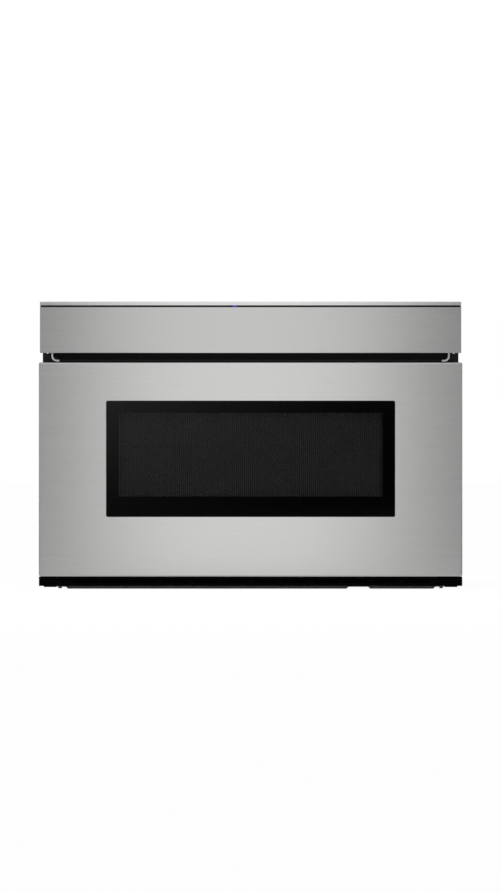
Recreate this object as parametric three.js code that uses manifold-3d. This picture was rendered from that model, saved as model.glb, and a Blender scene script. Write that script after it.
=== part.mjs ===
// A built-in microwave drawer of the 24 inch class, with a tilt-out control pod.
// Millimetres. +X is right, the front faces -Y, +Z is up. The origin is on the floor, under the middle.
import * as THREE from 'three';
import { mergeVertices } from 'three/addons/utils/BufferGeometryUtils.js';
import Module from 'manifold-3d';

const wasm = await Module();
wasm.setup();

// ---------------------------------------------------------------- driving dimensions

// The front, from the floor up
const skidDepth = 2.7; // pressed skids under the base plate
const ventBottom = 5; // lower edge of the black vent strip
const ventHeight = 13;
const drawerFrontHeight = 306.6;
const shadowGap = 13.3; // dark gap between the drawer front and the control pod
const fasciaHeight = 66;
const glassGap = 2.4; // black line between the fascia and the trim
const trimHeight = 5.4;

// The front, side to side
const drawerFrontWidth = 606.4;
const fasciaWidth = 602.7;
const capWidth = 35; // end caps beside the vent strip
const capInset = 0.2; // end caps inside the drawer front's width

// Depths
const overallDepth = 620;
const frontDepth = 60; // drawer face to cabinet face
const skinReturn = 38; // depth of the drawer skin's folded edges
const rearBay = 128.5; // space behind the cavity, for the magnetron and the fan
const glandProud = 6; // how far the cord gland stands out of the rear panel

// Chassis
const chassisWidth = 556;
const chassisUnderTrim = 41; // top of the chassis under the trim's
const flangeOverlap = 20.5; // flange beside the chassis, on each side
const caseSheet = 1;
const frameSheet = 1.2;
const bracketSheet = 1.5;
const caseBend = 4;
const lipDepth = 12; // folded lips of the flange and the rear panel
const caseSetback = 2.5; // case and base plate behind the cabinet's face
const seat = 0.3; // clearance between pieces that rest on each other
const running = 0.5; // clearance between pieces that slide or turn on each other

// Base plate
const plateLip = 14; // top of its side lips
const skidInset = 14.2; // skids from its edges
const skidGap = [137.9, 171.5]; // x between the left and the right skid

// Oven cavity
const sideBay = 59; // inner wall inside the chassis' outside
const cavityFloor = 89; // inner floor over the ground
const cavityDrop = 36.6; // inner ceiling under the drawer front's upper edge
const cavityCorner = 8;
const cavityLip = 11; // folded rim round its mouth
const feedRadius = 38; // opening for the microwaves in its ceiling

// Window of the drawer front
const windowWidth = 413.1;
const windowHeight = 165.9;
const windowBottom = 85.7; // over the drawer front's lower edge
const glassThickness = 4;
const screenSideBorder = 17.7;
const screenBottomBorder = 28.9;
const screenTopBorder = 17;

// Rails and drawer drive
const travelShort = 42; // what the drawer's travel lacks of the cavity's depth
const railOverrun = 29.7; // rails behind the cavity
const railHeight = 44;
const rackRise = 6.5; // rails over the rack's pitch line
const pinionFloor = 1.2; // pinion's teeth over the base plate
const gearModule = 3;
const drivePinionTeeth = 14;
const rackWidth = 8;
const toothDepth = [0.8, 1.1]; // of stub teeth, over and under the pitch line, in modules
const shaftDiameter = 10;

// Control pod
const pivotBack = 8; // pivot behind the fascia's face
const pivotUp = 9; // pivot over the fascia's lower edge
const pivotDiameter = 8;
const cradleInset = 16.35; // cradle inside the fascia's width
const cradleSheet = 2.3;
const cradleBend = 7;
const cradleClear = 1.4; // cradle floor over the drawer front
const podInset = 35; // pod housing inside the cradle's width
const glassSlope = 24; // degrees down to the back
const touchGlassThickness = 2.2;
const lensWidth = 5.7;
const lensX = -22.8;
const tiltModule = 1.25;
const tiltPinionTeeth = 12;
const tiltSectorTeeth = 54; // of a full wheel
const tiltPinionAngle = 40; // degrees over level, seen from the pivot
const tiltRange = 45;

// Microwave and cooling parts
const waveguideWidth = 92;
const waveguideHeight = 42;
const stirrerRadius = 72;
const magnetronWidth = 88;
const magnetronDepth = 80;
const fanRadius = 47;
const fanBlades = 5;
const fanHousingX = [-112, -94];

// ---------------------------------------------------------------- places worked out from them

const drawerZ = [ventBottom + ventHeight, ventBottom + ventHeight + drawerFrontHeight];
const fasciaZ = [drawerZ[1] + shadowGap, drawerZ[1] + shadowGap + fasciaHeight];
const trimZ = [fasciaZ[1] + glassGap, fasciaZ[1] + glassGap + trimHeight];
const faceY = -overallDepth / 2;
const cabinetY = faceY + frontDepth;
const flangeY = cabinetY - frameSheet;
const rearY = overallDepth / 2 - glandProud;
const caseHalf = chassisWidth / 2;
const insideHalf = caseHalf - caseSheet - seat;
const flangeHalf = caseHalf + flangeOverlap;
const capHalf = drawerFrontWidth / 2 - capInset;
const chassisTop = trimZ[1] - chassisUnderTrim;
const panTop = frameSheet; // upper face of the base plate in a skid
const deckTop = skidDepth + frameSheet; // upper face of the base plate beside the skids
const insideTop = chassisTop - caseSheet - seat;
const skids = [[skidInset - insideHalf, skidGap[0]], [skidGap[1], insideHalf - skidInset]];

const cavityHalf = caseHalf - sideBay;
const cavityZ = [cavityFloor, drawerZ[1] - cavityDrop];
const cavityFront = cabinetY + seat;
const cavityBack = rearY - frameSheet - rearBay - caseSheet;
const cavityMiddle = (cavityFront + cavityBack) / 2;
const cavityTop = cavityZ[1] + caseSheet;
const bayMiddle = rearY - frameSheet - rearBay / 2;
const fanZ = cavityTop - 38;
const lampY = cavityBack - 113.3;
const lampZ = cavityZ[1] - 43;

const windowHalf = windowWidth / 2;
const windowZ = [drawerZ[0] + windowBottom, drawerZ[0] + windowBottom + windowHeight];
const screenHalf = windowHalf - screenSideBorder;
const screenZ = [windowZ[0] + screenBottomBorder, windowZ[1] - screenTopBorder];
const doorBack = flangeY - 1; // rear face of the drawer front

const drivePitchRadius = (gearModule * drivePinionTeeth) / 2;
const pinionTip = drivePitchRadius + toothDepth[0] * gearModule;
const shaftY = cabinetY + pinionTip + 4;
const shaftZ = deckTop + pinionFloor + pinionTip;
const rackPitchZ = shaftZ + drivePitchRadius;
const railBottom = rackPitchZ + rackRise;
const railY = [cabinetY + 3, cavityBack + railOverrun];
const travel = cavityBack - cavityFront - travelShort;
const bracketX = insideHalf - 12.2; // inner face of the upright that carries the rails
const hookX = insideHalf - 14.7;
const hookZ = cavityZ[1] - 83;
const hookPinY = faceY + 30;

const pivotY = faceY + pivotBack;
const pivotZ = fasciaZ[0] + pivotUp;
const podReach = trimZ[0] - pivotZ - 2; // largest radius that passes under the trim
const cradleHalf = fasciaWidth / 2 - cradleInset;
const cradleDrop = shadowGap - cradleClear; // cradle floor under the fascia's lower edge
const podHalf = cradleHalf - podInset;
const cableX = 50 - podHalf; // ribbon cable from the power board to the control pod
const cableSlot = { half: 20, bottom: 6, top: 18 }; // heights over the pod's pivot

// ---------------------------------------------------------------- finishes

const finishes = {
  stainless: { color: 0xbfbfbd, roughness: 0.35, metalness: 1 },
  zincSteel: { color: 0x9fa3a6, roughness: 0.45, metalness: 0.9 },
  greyPaint: { color: 0x4a4b4d, roughness: 0.6, metalness: 0.1 },
  blackPaint: { color: 0x151515, roughness: 0.55, metalness: 0.1 },
  blackPlastic: { color: 0x101010, roughness: 0.5, metalness: 0 },
  blackGlass: { color: 0x08090a, roughness: 0.08, metalness: 0 },
  clearGlass: { color: 0xbfc8c6, roughness: 0.05, metalness: 0 },
  enamel: { color: 0xb9b8b2, roughness: 0.4, metalness: 0 },
  mica: { color: 0xcfc6ae, roughness: 0.7, metalness: 0 },
  ceramic: { color: 0xe8e6df, roughness: 0.25, metalness: 0 },
  whitePlastic: { color: 0xdedbd2, roughness: 0.5, metalness: 0 },
  laminations: { color: 0x3c3a38, roughness: 0.6, metalness: 0.5 },
  aluminium: { color: 0xc4c7ca, roughness: 0.35, metalness: 1 },
  circuitBoard: { color: 0x1e5b3a, roughness: 0.5, metalness: 0 },
  blueLens: { color: 0x3246c8, roughness: 0.2, metalness: 0 },
};

// ---------------------------------------------------------------- solids

const radians = (degrees) => (degrees * Math.PI) / 180;

// A closed mesh as a solid that can be joined and cut
function solidOf(geometry) {
  const bare = new THREE.BufferGeometry();
  bare.setAttribute('position', geometry.getAttribute('position'));
  if (geometry.index) bare.setIndex(geometry.index);
  const merged = mergeVertices(bare, 1e-4);
  const corners = [];
  for (let i = 0; i < merged.index.count; i += 3) {
    const [a, b, c] = [0, 1, 2].map((step) => merged.index.getX(i + step));
    if (a !== b && b !== c && c !== a) corners.push(a, b, c);
  }
  return new wasm.Manifold(new wasm.Mesh({
    numProp: 3,
    vertProperties: new Float32Array(merged.getAttribute('position').array),
    triVerts: new Uint32Array(corners),
  }));
}

const join = (first, ...rest) => rest.reduce((sum, solid) => sum.add(solid), first);
const cut = (first, ...rest) => rest.reduce((sum, solid) => sum.subtract(solid), first);

// A named sub-part with its finish
function piece(name, solid, finish) {
  const { vertProperties, triVerts } = solid.getMesh();
  const geometry = new THREE.BufferGeometry();
  geometry.setAttribute('position', new THREE.BufferAttribute(vertProperties, 3));
  geometry.setIndex(new THREE.BufferAttribute(triVerts, 1));
  geometry.computeVertexNormals();
  const mesh = new THREE.Mesh(geometry, new THREE.MeshStandardMaterial(finishes[finish]));
  mesh.name = name;
  return mesh;
}

// Points of an arc, its angles in degrees
function arc(u, v, radius, from, to, steps) {
  return Array.from({ length: steps + 1 }, (_, i) => {
    const angle = radians(from + ((to - from) * i) / steps);
    return [u + radius * Math.cos(angle), v + radius * Math.sin(angle)];
  });
}

const circle = (u, v, radius, sides = 16) => arc(u, v, radius, 0, 360, sides).slice(1);

// A rectangle, with round corners where a radius is given
function panel(u0, u1, v0, v1, radius = 0, steps = 2) {
  if (radius === 0) return [[u0, v0], [u1, v0], [u1, v1], [u0, v1]];
  return [
    ...arc(u1 - radius, v0 + radius, radius, -90, 0, steps),
    ...arc(u1 - radius, v1 - radius, radius, 0, 90, steps),
    ...arc(u0 + radius, v1 - radius, radius, 90, 180, steps),
    ...arc(u0 + radius, v0 + radius, radius, 180, 270, steps),
  ];
}

// An upside-down U of sheet, with bends at its upper corners
function arch(half, bottom, top, sheet, bend) {
  const inner = Math.max(bend - sheet, 0.1);
  return [
    [half, bottom],
    ...arc(half - bend, top - bend, bend, 0, 90, 2),
    ...arc(bend - half, top - bend, bend, 90, 180, 2),
    [-half, bottom],
    [sheet - half, bottom],
    ...arc(bend - half, top - bend, inner, 180, 90, 2),
    ...arc(half - bend, top - bend, inner, 90, 0, 2),
    [half - sheet, bottom],
  ];
}

// An outline pushed along an axis: drawn in (y, z) for x, in (x, z) for y and in (x, y) for z
const axisFrames = {
  x: new THREE.Matrix4().set(0, 0, 1, 0, 1, 0, 0, 0, 0, 1, 0, 0, 0, 0, 0, 1),
  y: new THREE.Matrix4().set(1, 0, 0, 0, 0, 0, -1, 0, 0, 1, 0, 0, 0, 0, 0, 1),
  z: new THREE.Matrix4(),
};

function prism(axis, outline, from, to, holes = []) {
  const shape = new THREE.Shape(outline.map(([u, v]) => new THREE.Vector2(u, v)));
  const geometry = new THREE.ExtrudeGeometry(shape, { depth: to - from, bevelEnabled: false });
  geometry.translate(0, 0, axis === 'y' ? -to : from);
  geometry.applyMatrix4(axisFrames[axis]);
  return cut(solidOf(geometry), ...holes.map((hole) => prism(axis, hole, from - 1, to + 1)));
}

const block = (x0, x1, y0, y1, z0, z1) => prism('z', panel(x0, x1, y0, y1), z0, z1);
const rod = (axis, u, v, radius, from, to, sides = 16) => (
  prism(axis, circle(u, v, radius, sides), from, to)
);

// A skin over rings of points that all have the same count, from the first ring to the last
function loft(rings) {
  const count = rings[0].length;
  const index = [];
  for (let ring = 0; ring + 1 < rings.length; ring += 1) {
    for (let i = 0; i < count; i += 1) {
      const next = (i + 1) % count;
      const [a, b] = [ring * count + i, ring * count + next];
      index.push(a, b, b + count, a, b + count, a + count);
    }
  }
  const last = (rings.length - 1) * count;
  for (let i = 1; i + 1 < count; i += 1) {
    index.push(0, i + 1, i, last, last + i, last + i + 1);
  }
  const geometry = new THREE.BufferGeometry();
  geometry.setAttribute('position', new THREE.Float32BufferAttribute(rings.flat(2), 3));
  geometry.setIndex(index);
  return solidOf(geometry);
}

// A turned piece: its closed profile in [radius, along], about an axis of the given centre
function turned(axis, u, v, profile, sides = 20) {
  const points = profile.map(([radius, along]) => new THREE.Vector2(radius, along));
  const geometry = new THREE.LatheGeometry(points, sides);
  geometry.rotateX(Math.PI / 2); // the lathe's axis, now along the prism's depth
  geometry.translate(u, v, 0);
  geometry.applyMatrix4(axisFrames[axis]);
  return solidOf(geometry);
}

// Outlines of a row of slots, spread along u about a middle, each from v0 to v1
function slotRow({ count, pitch, width }, middle, v0, v1) {
  return Array.from({ length: count }, (_, i) => {
    const u = middle + (i - (count - 1) / 2) * pitch;
    return panel(u - width / 2, u + width / 2, v0, v1);
  });
}

const cutters = (axis, outlines, from, to) => outlines.map((hole) => prism(axis, hole, from, to));

// ---------------------------------------------------------------- gears

const pressureAngle = radians(20);
const involute = (angle) => Math.tan(angle) - angle;

// Teeth of a spur gear from one tooth number to another, the tooth of number 0 at the given angle
function gearTeeth(teeth, module, thinning, first, last, zeroAngle) {
  const pitchRadius = (teeth * module) / 2;
  const baseRadius = pitchRadius * Math.cos(pressureAngle);
  const rootRadius = pitchRadius - toothDepth[1] * module;
  const tipRadius = pitchRadius + toothDepth[0] * module;
  const start = Math.max(baseRadius, rootRadius);
  const pitchHalf = (Math.PI * module / 2 - thinning) / (2 * pitchRadius);
  const halfAt = (radius) => (
    pitchHalf + involute(pressureAngle) - involute(Math.acos(Math.min(1, baseRadius / radius)))
  );
  const flank = [start, pitchRadius, tipRadius].map((radius) => [radius, halfAt(radius)]);
  const side = rootRadius < start ? [[rootRadius, halfAt(start)], ...flank] : flank;
  const points = [];
  for (let tooth = first; tooth <= last; tooth += 1) {
    const centre = zeroAngle + (tooth * 2 * Math.PI) / teeth;
    for (const [radius, half] of side) {
      points.push([radius * Math.cos(centre - half), radius * Math.sin(centre - half)]);
    }
    for (const [radius, half] of [...side].reverse()) {
      points.push([radius * Math.cos(centre + half), radius * Math.sin(centre + half)]);
    }
  }
  return points;
}

// A rack with its teeth down, a gap at the given place and its back at the given height
function rackOutline(from, to, gapAt, pitchZ, backZ) {
  const pitch = Math.PI * gearModule;
  const [tip, root] = [pitchZ - toothDepth[0] * gearModule, pitchZ + toothDepth[1] * gearModule];
  const slope = Math.tan(pressureAngle);
  const half = pitch / 4;
  const points = [[from, backZ], [from, root]];
  const firstTooth = Math.ceil((from - gapAt) / pitch + 0.1);
  const lastTooth = Math.floor((to - gapAt) / pitch - 1.1);
  for (let tooth = firstTooth; tooth <= lastTooth; tooth += 1) {
    const centre = gapAt + (tooth + 0.5) * pitch;
    const [wide, narrow] = [half + slope * (root - pitchZ), half - slope * (pitchZ - tip)];
    points.push([centre - wide, root], [centre - narrow, tip]);
    points.push([centre + narrow, tip], [centre + wide, root]);
  }
  points.push([to, root], [to, backZ]);
  return points;
}

// ---------------------------------------------------------------- chassis

const lug = { inset: 2.9, half: 2.4, bottom: 0.6, depth: 12 }; // small foot under each front corner
const plateVents = { count: 7, pitch: 14, width: 6, x: -130, half: 30 };

function basePlate() {
  const edge = insideHalf;
  const lip = plateLip;
  const pans = skids.map(([from, to]) => [
    [from - skidDepth, skidDepth], [from, 0], [to, 0], [to + skidDepth, skidDepth],
  ]);
  const lower = pans.flat();
  const upper = lower.map(([x, z]) => [x, z + frameSheet]).reverse();
  const section = [
    [-edge, lip], [-edge, skidDepth], ...lower, [edge, skidDepth], [edge, lip],
    [edge - frameSheet, lip], [edge - frameSheet, deckTop], ...upper,
    [frameSheet - edge, deckTop], [frameSheet - edge, lip],
  ];
  const front = cabinetY + caseSetback;
  const back = rearY - frameSheet - lipDepth - seat;
  const plate = prism('y', section, front, back);
  const frontWalls = pans.map((pan) => prism(
    'y', [[pan[0][0], deckTop], ...pan, [pan.at(-1)[0], deckTop]], front, front + frameSheet,
  ));
  const airSlots = slotRow(
    plateVents, plateVents.x, bayMiddle - plateVents.half, bayMiddle + plateVents.half,
  );
  const lugX = edge - lug.inset;
  const lugs = [-lugX, lugX].map((middle) => block(
    middle - lug.half, middle + lug.half, front, front + lug.depth, lug.bottom, deckTop - frameSheet / 2,
  ));
  const solid = cut(join(plate, ...frontWalls, ...lugs), ...cutters('z', airSlots, -1, deckTop + 1));
  return piece('base_plate', solid, 'greyPaint');
}

const topVents = { count: 8, pitch: 22, width: 8, x: 90, half: 45 };
const sideVents = { count: 7, pitch: 14, width: 6, bottom: 60, top: 130 };

function outerCase() {
  const front = cabinetY + caseSetback;
  const back = rearY - frameSheet - seat;
  const shell = prism('y', arch(caseHalf, skidDepth, chassisTop, caseSheet, caseBend), front, back);
  const topSlots = slotRow(topVents, topVents.x, bayMiddle - topVents.half, bayMiddle + topVents.half);
  const sideSlots = slotRow(sideVents, bayMiddle, sideVents.bottom, sideVents.top);
  const solid = cut(
    shell,
    ...cutters('z', topSlots, insideTop - 1, chassisTop + 1),
    ...cutters('x', sideSlots, -caseHalf - 1, caseHalf + 1),
  );
  return piece('outer_case', solid, 'zincSteel');
}

const glandX = caseHalf - 50;
const glandZ = chassisTop - 50.7;
const glandRadius = 11;
const fanVents = { count: 7, pitch: 14, width: 8, x: fanHousingX[0] - 78 };
const lowVents = { count: 6, pitch: 40, width: 28, bottom: 24, top: 32 };

function rearPanel() {
  const fanGrille = slotRow(fanVents, fanVents.x, fanZ - fanRadius, fanZ + fanRadius);
  const lowerGrille = slotRow(lowVents, 0, lowVents.bottom, lowVents.top);
  const holes = [...fanGrille, ...lowerGrille, circle(glandX, glandZ, glandRadius + seat)];
  const plate = prism(
    'y',
    panel(-caseHalf, caseHalf, skidDepth, chassisTop, caseBend),
    rearY - frameSheet,
    rearY,
    holes,
  );
  const lips = prism(
    'y',
    panel(-insideHalf, insideHalf, skidDepth, insideTop, caseBend - caseSheet),
    rearY - frameSheet - lipDepth,
    rearY - frameSheet / 2,
    [panel(frameSheet - insideHalf, insideHalf - frameSheet, deckTop, insideTop - frameSheet, 2)],
  );
  return piece('rear_panel', join(plate, lips), 'zincSteel');
}

const flangeScrews = { heights: [60, 200, 340], inset: 7, radius: 2.4 }; // into the cabinet
const flangeVents = { count: 5, pitch: 76, width: 60, bottom: 24, top: 36 };
const hookWindow = { half: 6, under: 16, over: 22 }; // opening for a latch hook, about its pin's height

function frontFlange() {
  const half = flangeHalf;
  const railWindow = [rackOuter - rackWidth - 1.7, bracketX + running];
  const mouth = panel(-cavityHalf, cavityHalf, ...cavityZ, cavityCorner);
  const railHoles = [-1, 1].map((side) => {
    const [near, far] = railWindow.map((x) => side * x).sort((a, b) => a - b);
    return panel(near, far, rackPitchZ - 5, railBottom + railHeight + 1.5, 2, 1);
  });
  const hookHoles = [-hookX, hookX].map((x) => panel(
    x - hookWindow.half, x + hookWindow.half, hookZ - hookWindow.under, hookZ + hookWindow.over, 2, 1,
  ));
  const screwHoles = [-1, 1].flatMap((side) => flangeScrews.heights.map((z) => (
    circle(side * (half - flangeScrews.inset), z, flangeScrews.radius, 8)
  )));
  const airHoles = slotRow(flangeVents, 0, flangeVents.bottom, flangeVents.top);
  const cableHole = panel(
    cableX - cableSlot.half - 2, cableX + cableSlot.half + 2,
    pivotZ + cableSlot.bottom - 2, pivotZ + cableSlot.top + 2, 4, 1,
  );
  const plate = prism(
    'y',
    panel(-half, half, ventBottom, fasciaZ[1], 3),
    flangeY,
    cabinetY,
    [mouth, ...railHoles, ...hookHoles, ...screwHoles, ...airHoles, cableHole],
  );
  const lips = prism(
    'y',
    arch(insideHalf, plateLip + seat, insideTop, frameSheet, caseBend - caseSheet),
    cabinetY - frameSheet / 2,
    cabinetY + lipDepth,
  );
  const bottomLip = block(
    -insideHalf, insideHalf, cabinetY - frameSheet / 2, cabinetY + caseSetback - seat,
    plateLip + seat, plateLip + seat + frameSheet,
  );
  return piece('front_flange', join(plate, lips, bottomLip), 'blackPaint');
}

function topTrim() {
  const half = fasciaWidth / 2;
  const sheet = frameSheet;
  const leg = flangeY - seat;
  const foot = chassisTop + 2;
  const section = [
    [leg, foot], [leg, trimZ[1]], ...arc(faceY + 1, trimZ[1] - 1, 1, 90, 180, 2),
    [faceY, trimZ[0]], [leg - sheet, trimZ[0]], [leg - sheet, foot],
  ];
  const outside = prism('x', section, -half, half);
  const inside = block(
    sheet - half, half - sheet, faceY + sheet, leg - sheet, trimZ[0] - 1, trimZ[1] - sheet,
  );
  return piece('top_trim', cut(outside, inside), 'stainless');
}

const underFront = 0.6; // vent strip and end caps under the drawer front
const grille = { pitch: 43, bridge: 7, front: 7, sheet: 1.5, edge: 9 };

function ventGrille() {
  const half = capHalf - capWidth - seat;
  const { sheet } = grille;
  const [front, back] = [faceY + grille.front, flangeY - seat];
  const top = drawerZ[0] - underFront;
  const section = [
    [front, ventBottom], [back, ventBottom], [back, top], [back - sheet, top],
    [back - sheet, ventBottom + sheet], [front + sheet, ventBottom + sheet],
    [front + sheet, top], [front, top],
  ];
  const channel = prism('x', section, -half, half);
  const row = {
    count: Math.floor((2 * (half - grille.edge) + grille.bridge) / grille.pitch),
    pitch: grille.pitch,
    width: grille.pitch - grille.bridge,
  };
  const frontSlots = slotRow(row, 0, ventBottom + 4, ventBottom + 9);
  const floorSlots = slotRow(row, 0, front + 14, front + 22);
  const solid = cut(
    channel,
    ...cutters('y', frontSlots, front - 1, front + 2 * sheet),
    ...cutters('z', floorSlots, ventBottom - 1, ventBottom + 2 * sheet),
  );
  return piece('vent_grille', solid, 'blackPlastic');
}

const cap = { front: 4, wall: 2, footInset: 7, footWidth: 18, footDepth: 1.6, corner: 4 };

function endCap(name, side) {
  const { wall } = cap;
  const [near, far] = [capHalf - capWidth, capHalf];
  const [front, back] = [faceY + cap.front, flangeY - seat];
  const [bottom, top] = [ventBottom - seat, drawerZ[0] - underFront];
  const footEnd = far - cap.footInset;
  const foot = panel(footEnd - cap.footWidth, footEnd, front + 6, back - 6, 3);
  const body = join(
    prism('z', panel(near, far, front, back, cap.corner), bottom, top),
    prism('z', foot, bottom - cap.footDepth, bottom + 1),
  );
  const hollow = prism(
    'z', panel(near + wall, far - wall, front + wall, back - wall, 2), bottom + wall, top + 1,
  );
  const solid = cut(body, hollow);
  return piece(name, side < 0 ? solid.mirror([1, 0, 0]) : solid, 'blackPlastic');
}

// ---------------------------------------------------------------- oven cavity and its fittings

const lampVents = { count: 4, pitch: 8, width: 4, half: 14 };
const airVents = { count: 7, pitch: 14, width: 6, x: 130, from: 48, to: 24 }; // under the ceiling

function cavityShell() {
  const outer = panel(
    -cavityHalf - caseSheet, cavityHalf + caseSheet,
    cavityZ[0] - caseSheet, cavityZ[1] + caseSheet, cavityCorner + caseSheet,
  );
  const inner = panel(-cavityHalf, cavityHalf, ...cavityZ, cavityCorner);
  const lipOuter = panel(
    -cavityHalf - cavityLip, cavityHalf + cavityLip,
    cavityZ[0] - cavityLip, cavityZ[1] + cavityLip, cavityCorner + cavityLip,
  );
  const walls = prism('y', outer, cavityFront, cavityBack, [inner]);
  const rear = prism('y', outer, cavityBack, cavityBack + caseSheet);
  const lip = prism('y', lipOuter, cavityFront, cavityFront + caseSheet, [inner]);
  const feed = rod('z', 0, cavityMiddle, feedRadius, cavityZ[1] - 1, cavityTop + 1, 20);
  const lampSlots = slotRow(lampVents, lampY, lampZ - lampVents.half, lampZ + lampVents.half);
  const airSlots = slotRow(airVents, airVents.x, cavityZ[1] - airVents.from, cavityZ[1] - airVents.to);
  const solid = cut(
    join(walls, rear, lip),
    feed,
    ...cutters('x', lampSlots, cavityHalf - 1, cavityHalf + 2),
    ...cutters('y', airSlots, cavityBack - 1, cavityBack + 2),
  );
  return piece('cavity_shell', solid, 'enamel');
}

const coverHalf = 105;
const coverDrop = 18;
const coverSheet = 1.5;

function stirrerCover() {
  const outer = (grow) => panel(
    -coverHalf - grow, coverHalf + grow,
    cavityMiddle - coverHalf - grow, cavityMiddle + coverHalf + grow, 12 + grow,
  );
  const top = cavityZ[1] - seat;
  const shell = prism('z', outer(0), top - coverDrop, top);
  const hollow = prism('z', outer(-coverSheet), top - coverDrop + coverSheet, top + 1);
  return piece('stirrer_cover', cut(shell, hollow), 'mica');
}

function waveguide() {
  const half = waveguideWidth / 2;
  const wall = 1;
  const [front, back] = [cavityMiddle - 52, bayMiddle + magnetronDepth / 2 + 5];
  const [bottom, top] = [cavityTop + seat, cavityTop + seat + waveguideHeight];
  const tube = cut(
    prism('z', panel(-half, half, front, back, 6), bottom, top),
    prism('z', panel(wall - half, half - wall, front + wall, back - wall, 5), bottom + wall, top - wall),
  );
  const feed = rod('z', 0, cavityMiddle, feedRadius, bottom - 1, bottom + 2, 20);
  const shaftHole = rod('z', 0, cavityMiddle, 4, top - 2, top + 1, 12);
  const antennaHole = rod('z', 0, bayMiddle, 11, bottom - 1, bottom + 2, 16);
  return piece('waveguide', cut(tube, feed, shaftHole, antennaHole), 'aluminium');
}

// The turning part of the stirrer, about its own axis
function stirrerFan() {
  const drop = cavityZ[1] - 8;
  const couplingTop = cavityTop + waveguideHeight - 8.5;
  const hub = rod('z', 0, 0, 9, drop - 3, drop + 5, 12);
  const shaft = rod('z', 0, 0, 3, drop, couplingTop, 10);
  const outline = [
    [4, -9], [stirrerRadius - 6, -16], [stirrerRadius, 0], [stirrerRadius - 14, 14], [4, 9],
  ];
  const blades = [0, 1, 2, 3].map((i) => (
    prism('z', outline, -frameSheet / 2, frameSheet / 2)
      .rotate([0, i % 2 ? 1.2 : -1.2, 0])
      .rotate([0, 0, 90 * i])
      .translate(0, 0, drop)
  ));
  return piece('stirrer_fan', join(hub, shaft, ...blades), 'aluminium');
}

function stirrerMotor() {
  const bottom = cavityTop + waveguideHeight + 2 * seat;
  const body = rod('z', 0, cavityMiddle, 24, bottom, bottom + 17, 20);
  const ears = prism('z', panel(-33, 33, cavityMiddle - 7, cavityMiddle + 7, 6), bottom, bottom + 1.5);
  const holes = [-28, 28].map((x) => rod('z', x, cavityMiddle, 2, bottom - 1, bottom + 3, 8));
  const stub = rod('z', 0, cavityMiddle, 3, bottom - 8.8, bottom + 1, 10);
  return piece('stirrer_motor', join(cut(join(body, ears), ...holes), stub), 'zincSteel');
}

const coreHeight = 70; // magnetron's yoke, which the air duct leads to
const flangeThickness = 3.5; // plate that seats the magnetron under the waveguide

function magnetron() {
  const top = cavityTop; // seated under the waveguide
  const [half, deep] = [magnetronWidth / 2, magnetronDepth / 2];
  const coreTop = top - flangeThickness;
  const coreBottom = coreTop - coreHeight;
  const flange = block(-half, half, bayMiddle - deep, bayMiddle + deep, coreTop, top);
  const yoke = prism(
    'x', panel(bayMiddle - deep, bayMiddle + deep, coreBottom, coreTop + 1), -half, half,
    [panel(bayMiddle - deep + 2, bayMiddle + deep - 2, coreBottom + 2, coreTop - 1)],
  );
  const fins = [1, 2, 3, 4].map((i) => {
    const z = coreBottom + (coreHeight / 5) * i;
    return block(4 - half, half - 4, bayMiddle - deep + 1, bayMiddle + deep - 1, z - 0.5, z + 0.5);
  });
  const anode = rod('z', 0, bayMiddle, 17, coreBottom + 1, coreTop, 12);
  const filterHalf = deep - 6;
  const filterBox = prism(
    'z', panel(14 - half, half - 14, bayMiddle - filterHalf, bayMiddle + filterHalf, 4, 1),
    coreBottom - 36, coreBottom + 1,
  );
  return piece('magnetron', join(flange, yoke, ...fins, anode, filterBox), 'aluminium');
}

// The cap on the magnetron that stands in the waveguide
function magnetronAntenna() {
  const from = cavityTop + seat;
  return piece('magnetron_antenna', rod('z', 0, bayMiddle, 7.5, from, from + 20, 12), 'aluminium');
}

function ovenLamp() {
  const from = cavityHalf + caseSheet + seat;
  const plate = prism('x', panel(lampY - 24, lampY + 24, lampZ - 24, lampZ + 24, 4), from, from + 1.5);
  const housing = rod('x', lampY, lampZ, 17, from + 1, from + 32, 16);
  const terminals = [-6, 6].map((y) => (
    block(from + 31, from + 40, lampY + y - 3, lampY + y + 3, lampZ - 0.4, lampZ + 0.4)
  ));
  return piece('oven_lamp', join(plate, housing, ...terminals), 'whitePlastic');
}

// ---------------------------------------------------------------- electrical parts

function transformer() {
  const bottom = panTop + seat;
  const [x, halfX, halfY] = [insideHalf - 60.7, 42, 26];
  const height = 72;
  const core = prism(
    'y', panel(x - halfX, x + halfX, bottom + 2, bottom + 2 + height),
    bayMiddle - halfY, bayMiddle + halfY,
    [-1, 1].map((side) => {
      const middle = x + side * 21;
      return panel(middle - 7, middle + 7, bottom + 16, bottom + height - 12);
    }),
  );
  const overhang = halfY + 14;
  const winding = prism(
    'z', panel(x - 26, x + 26, bayMiddle - overhang, bayMiddle + overhang, 12),
    bottom + 17, bottom + height - 13,
    [panel(x - 15, x + 15, bayMiddle - halfY + 1, bayMiddle + halfY - 1)],
  );
  const footHalf = halfY + 10;
  const foot = block(
    x - halfX, x + halfX, bayMiddle - footHalf, bayMiddle + footHalf, bottom, bottom + 2.5,
  );
  const holes = [-1, 1].flatMap((sideX) => [-1, 1].map((sideY) => (
    rod('z', x + sideX * 34, bayMiddle + sideY * (halfY + 5), 2.2, bottom - 1, bottom + 4, 8)
  )));
  return piece('hv_transformer', cut(join(core, winding, foot), ...holes), 'laminations');
}

const capacitorX = 60;

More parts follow.
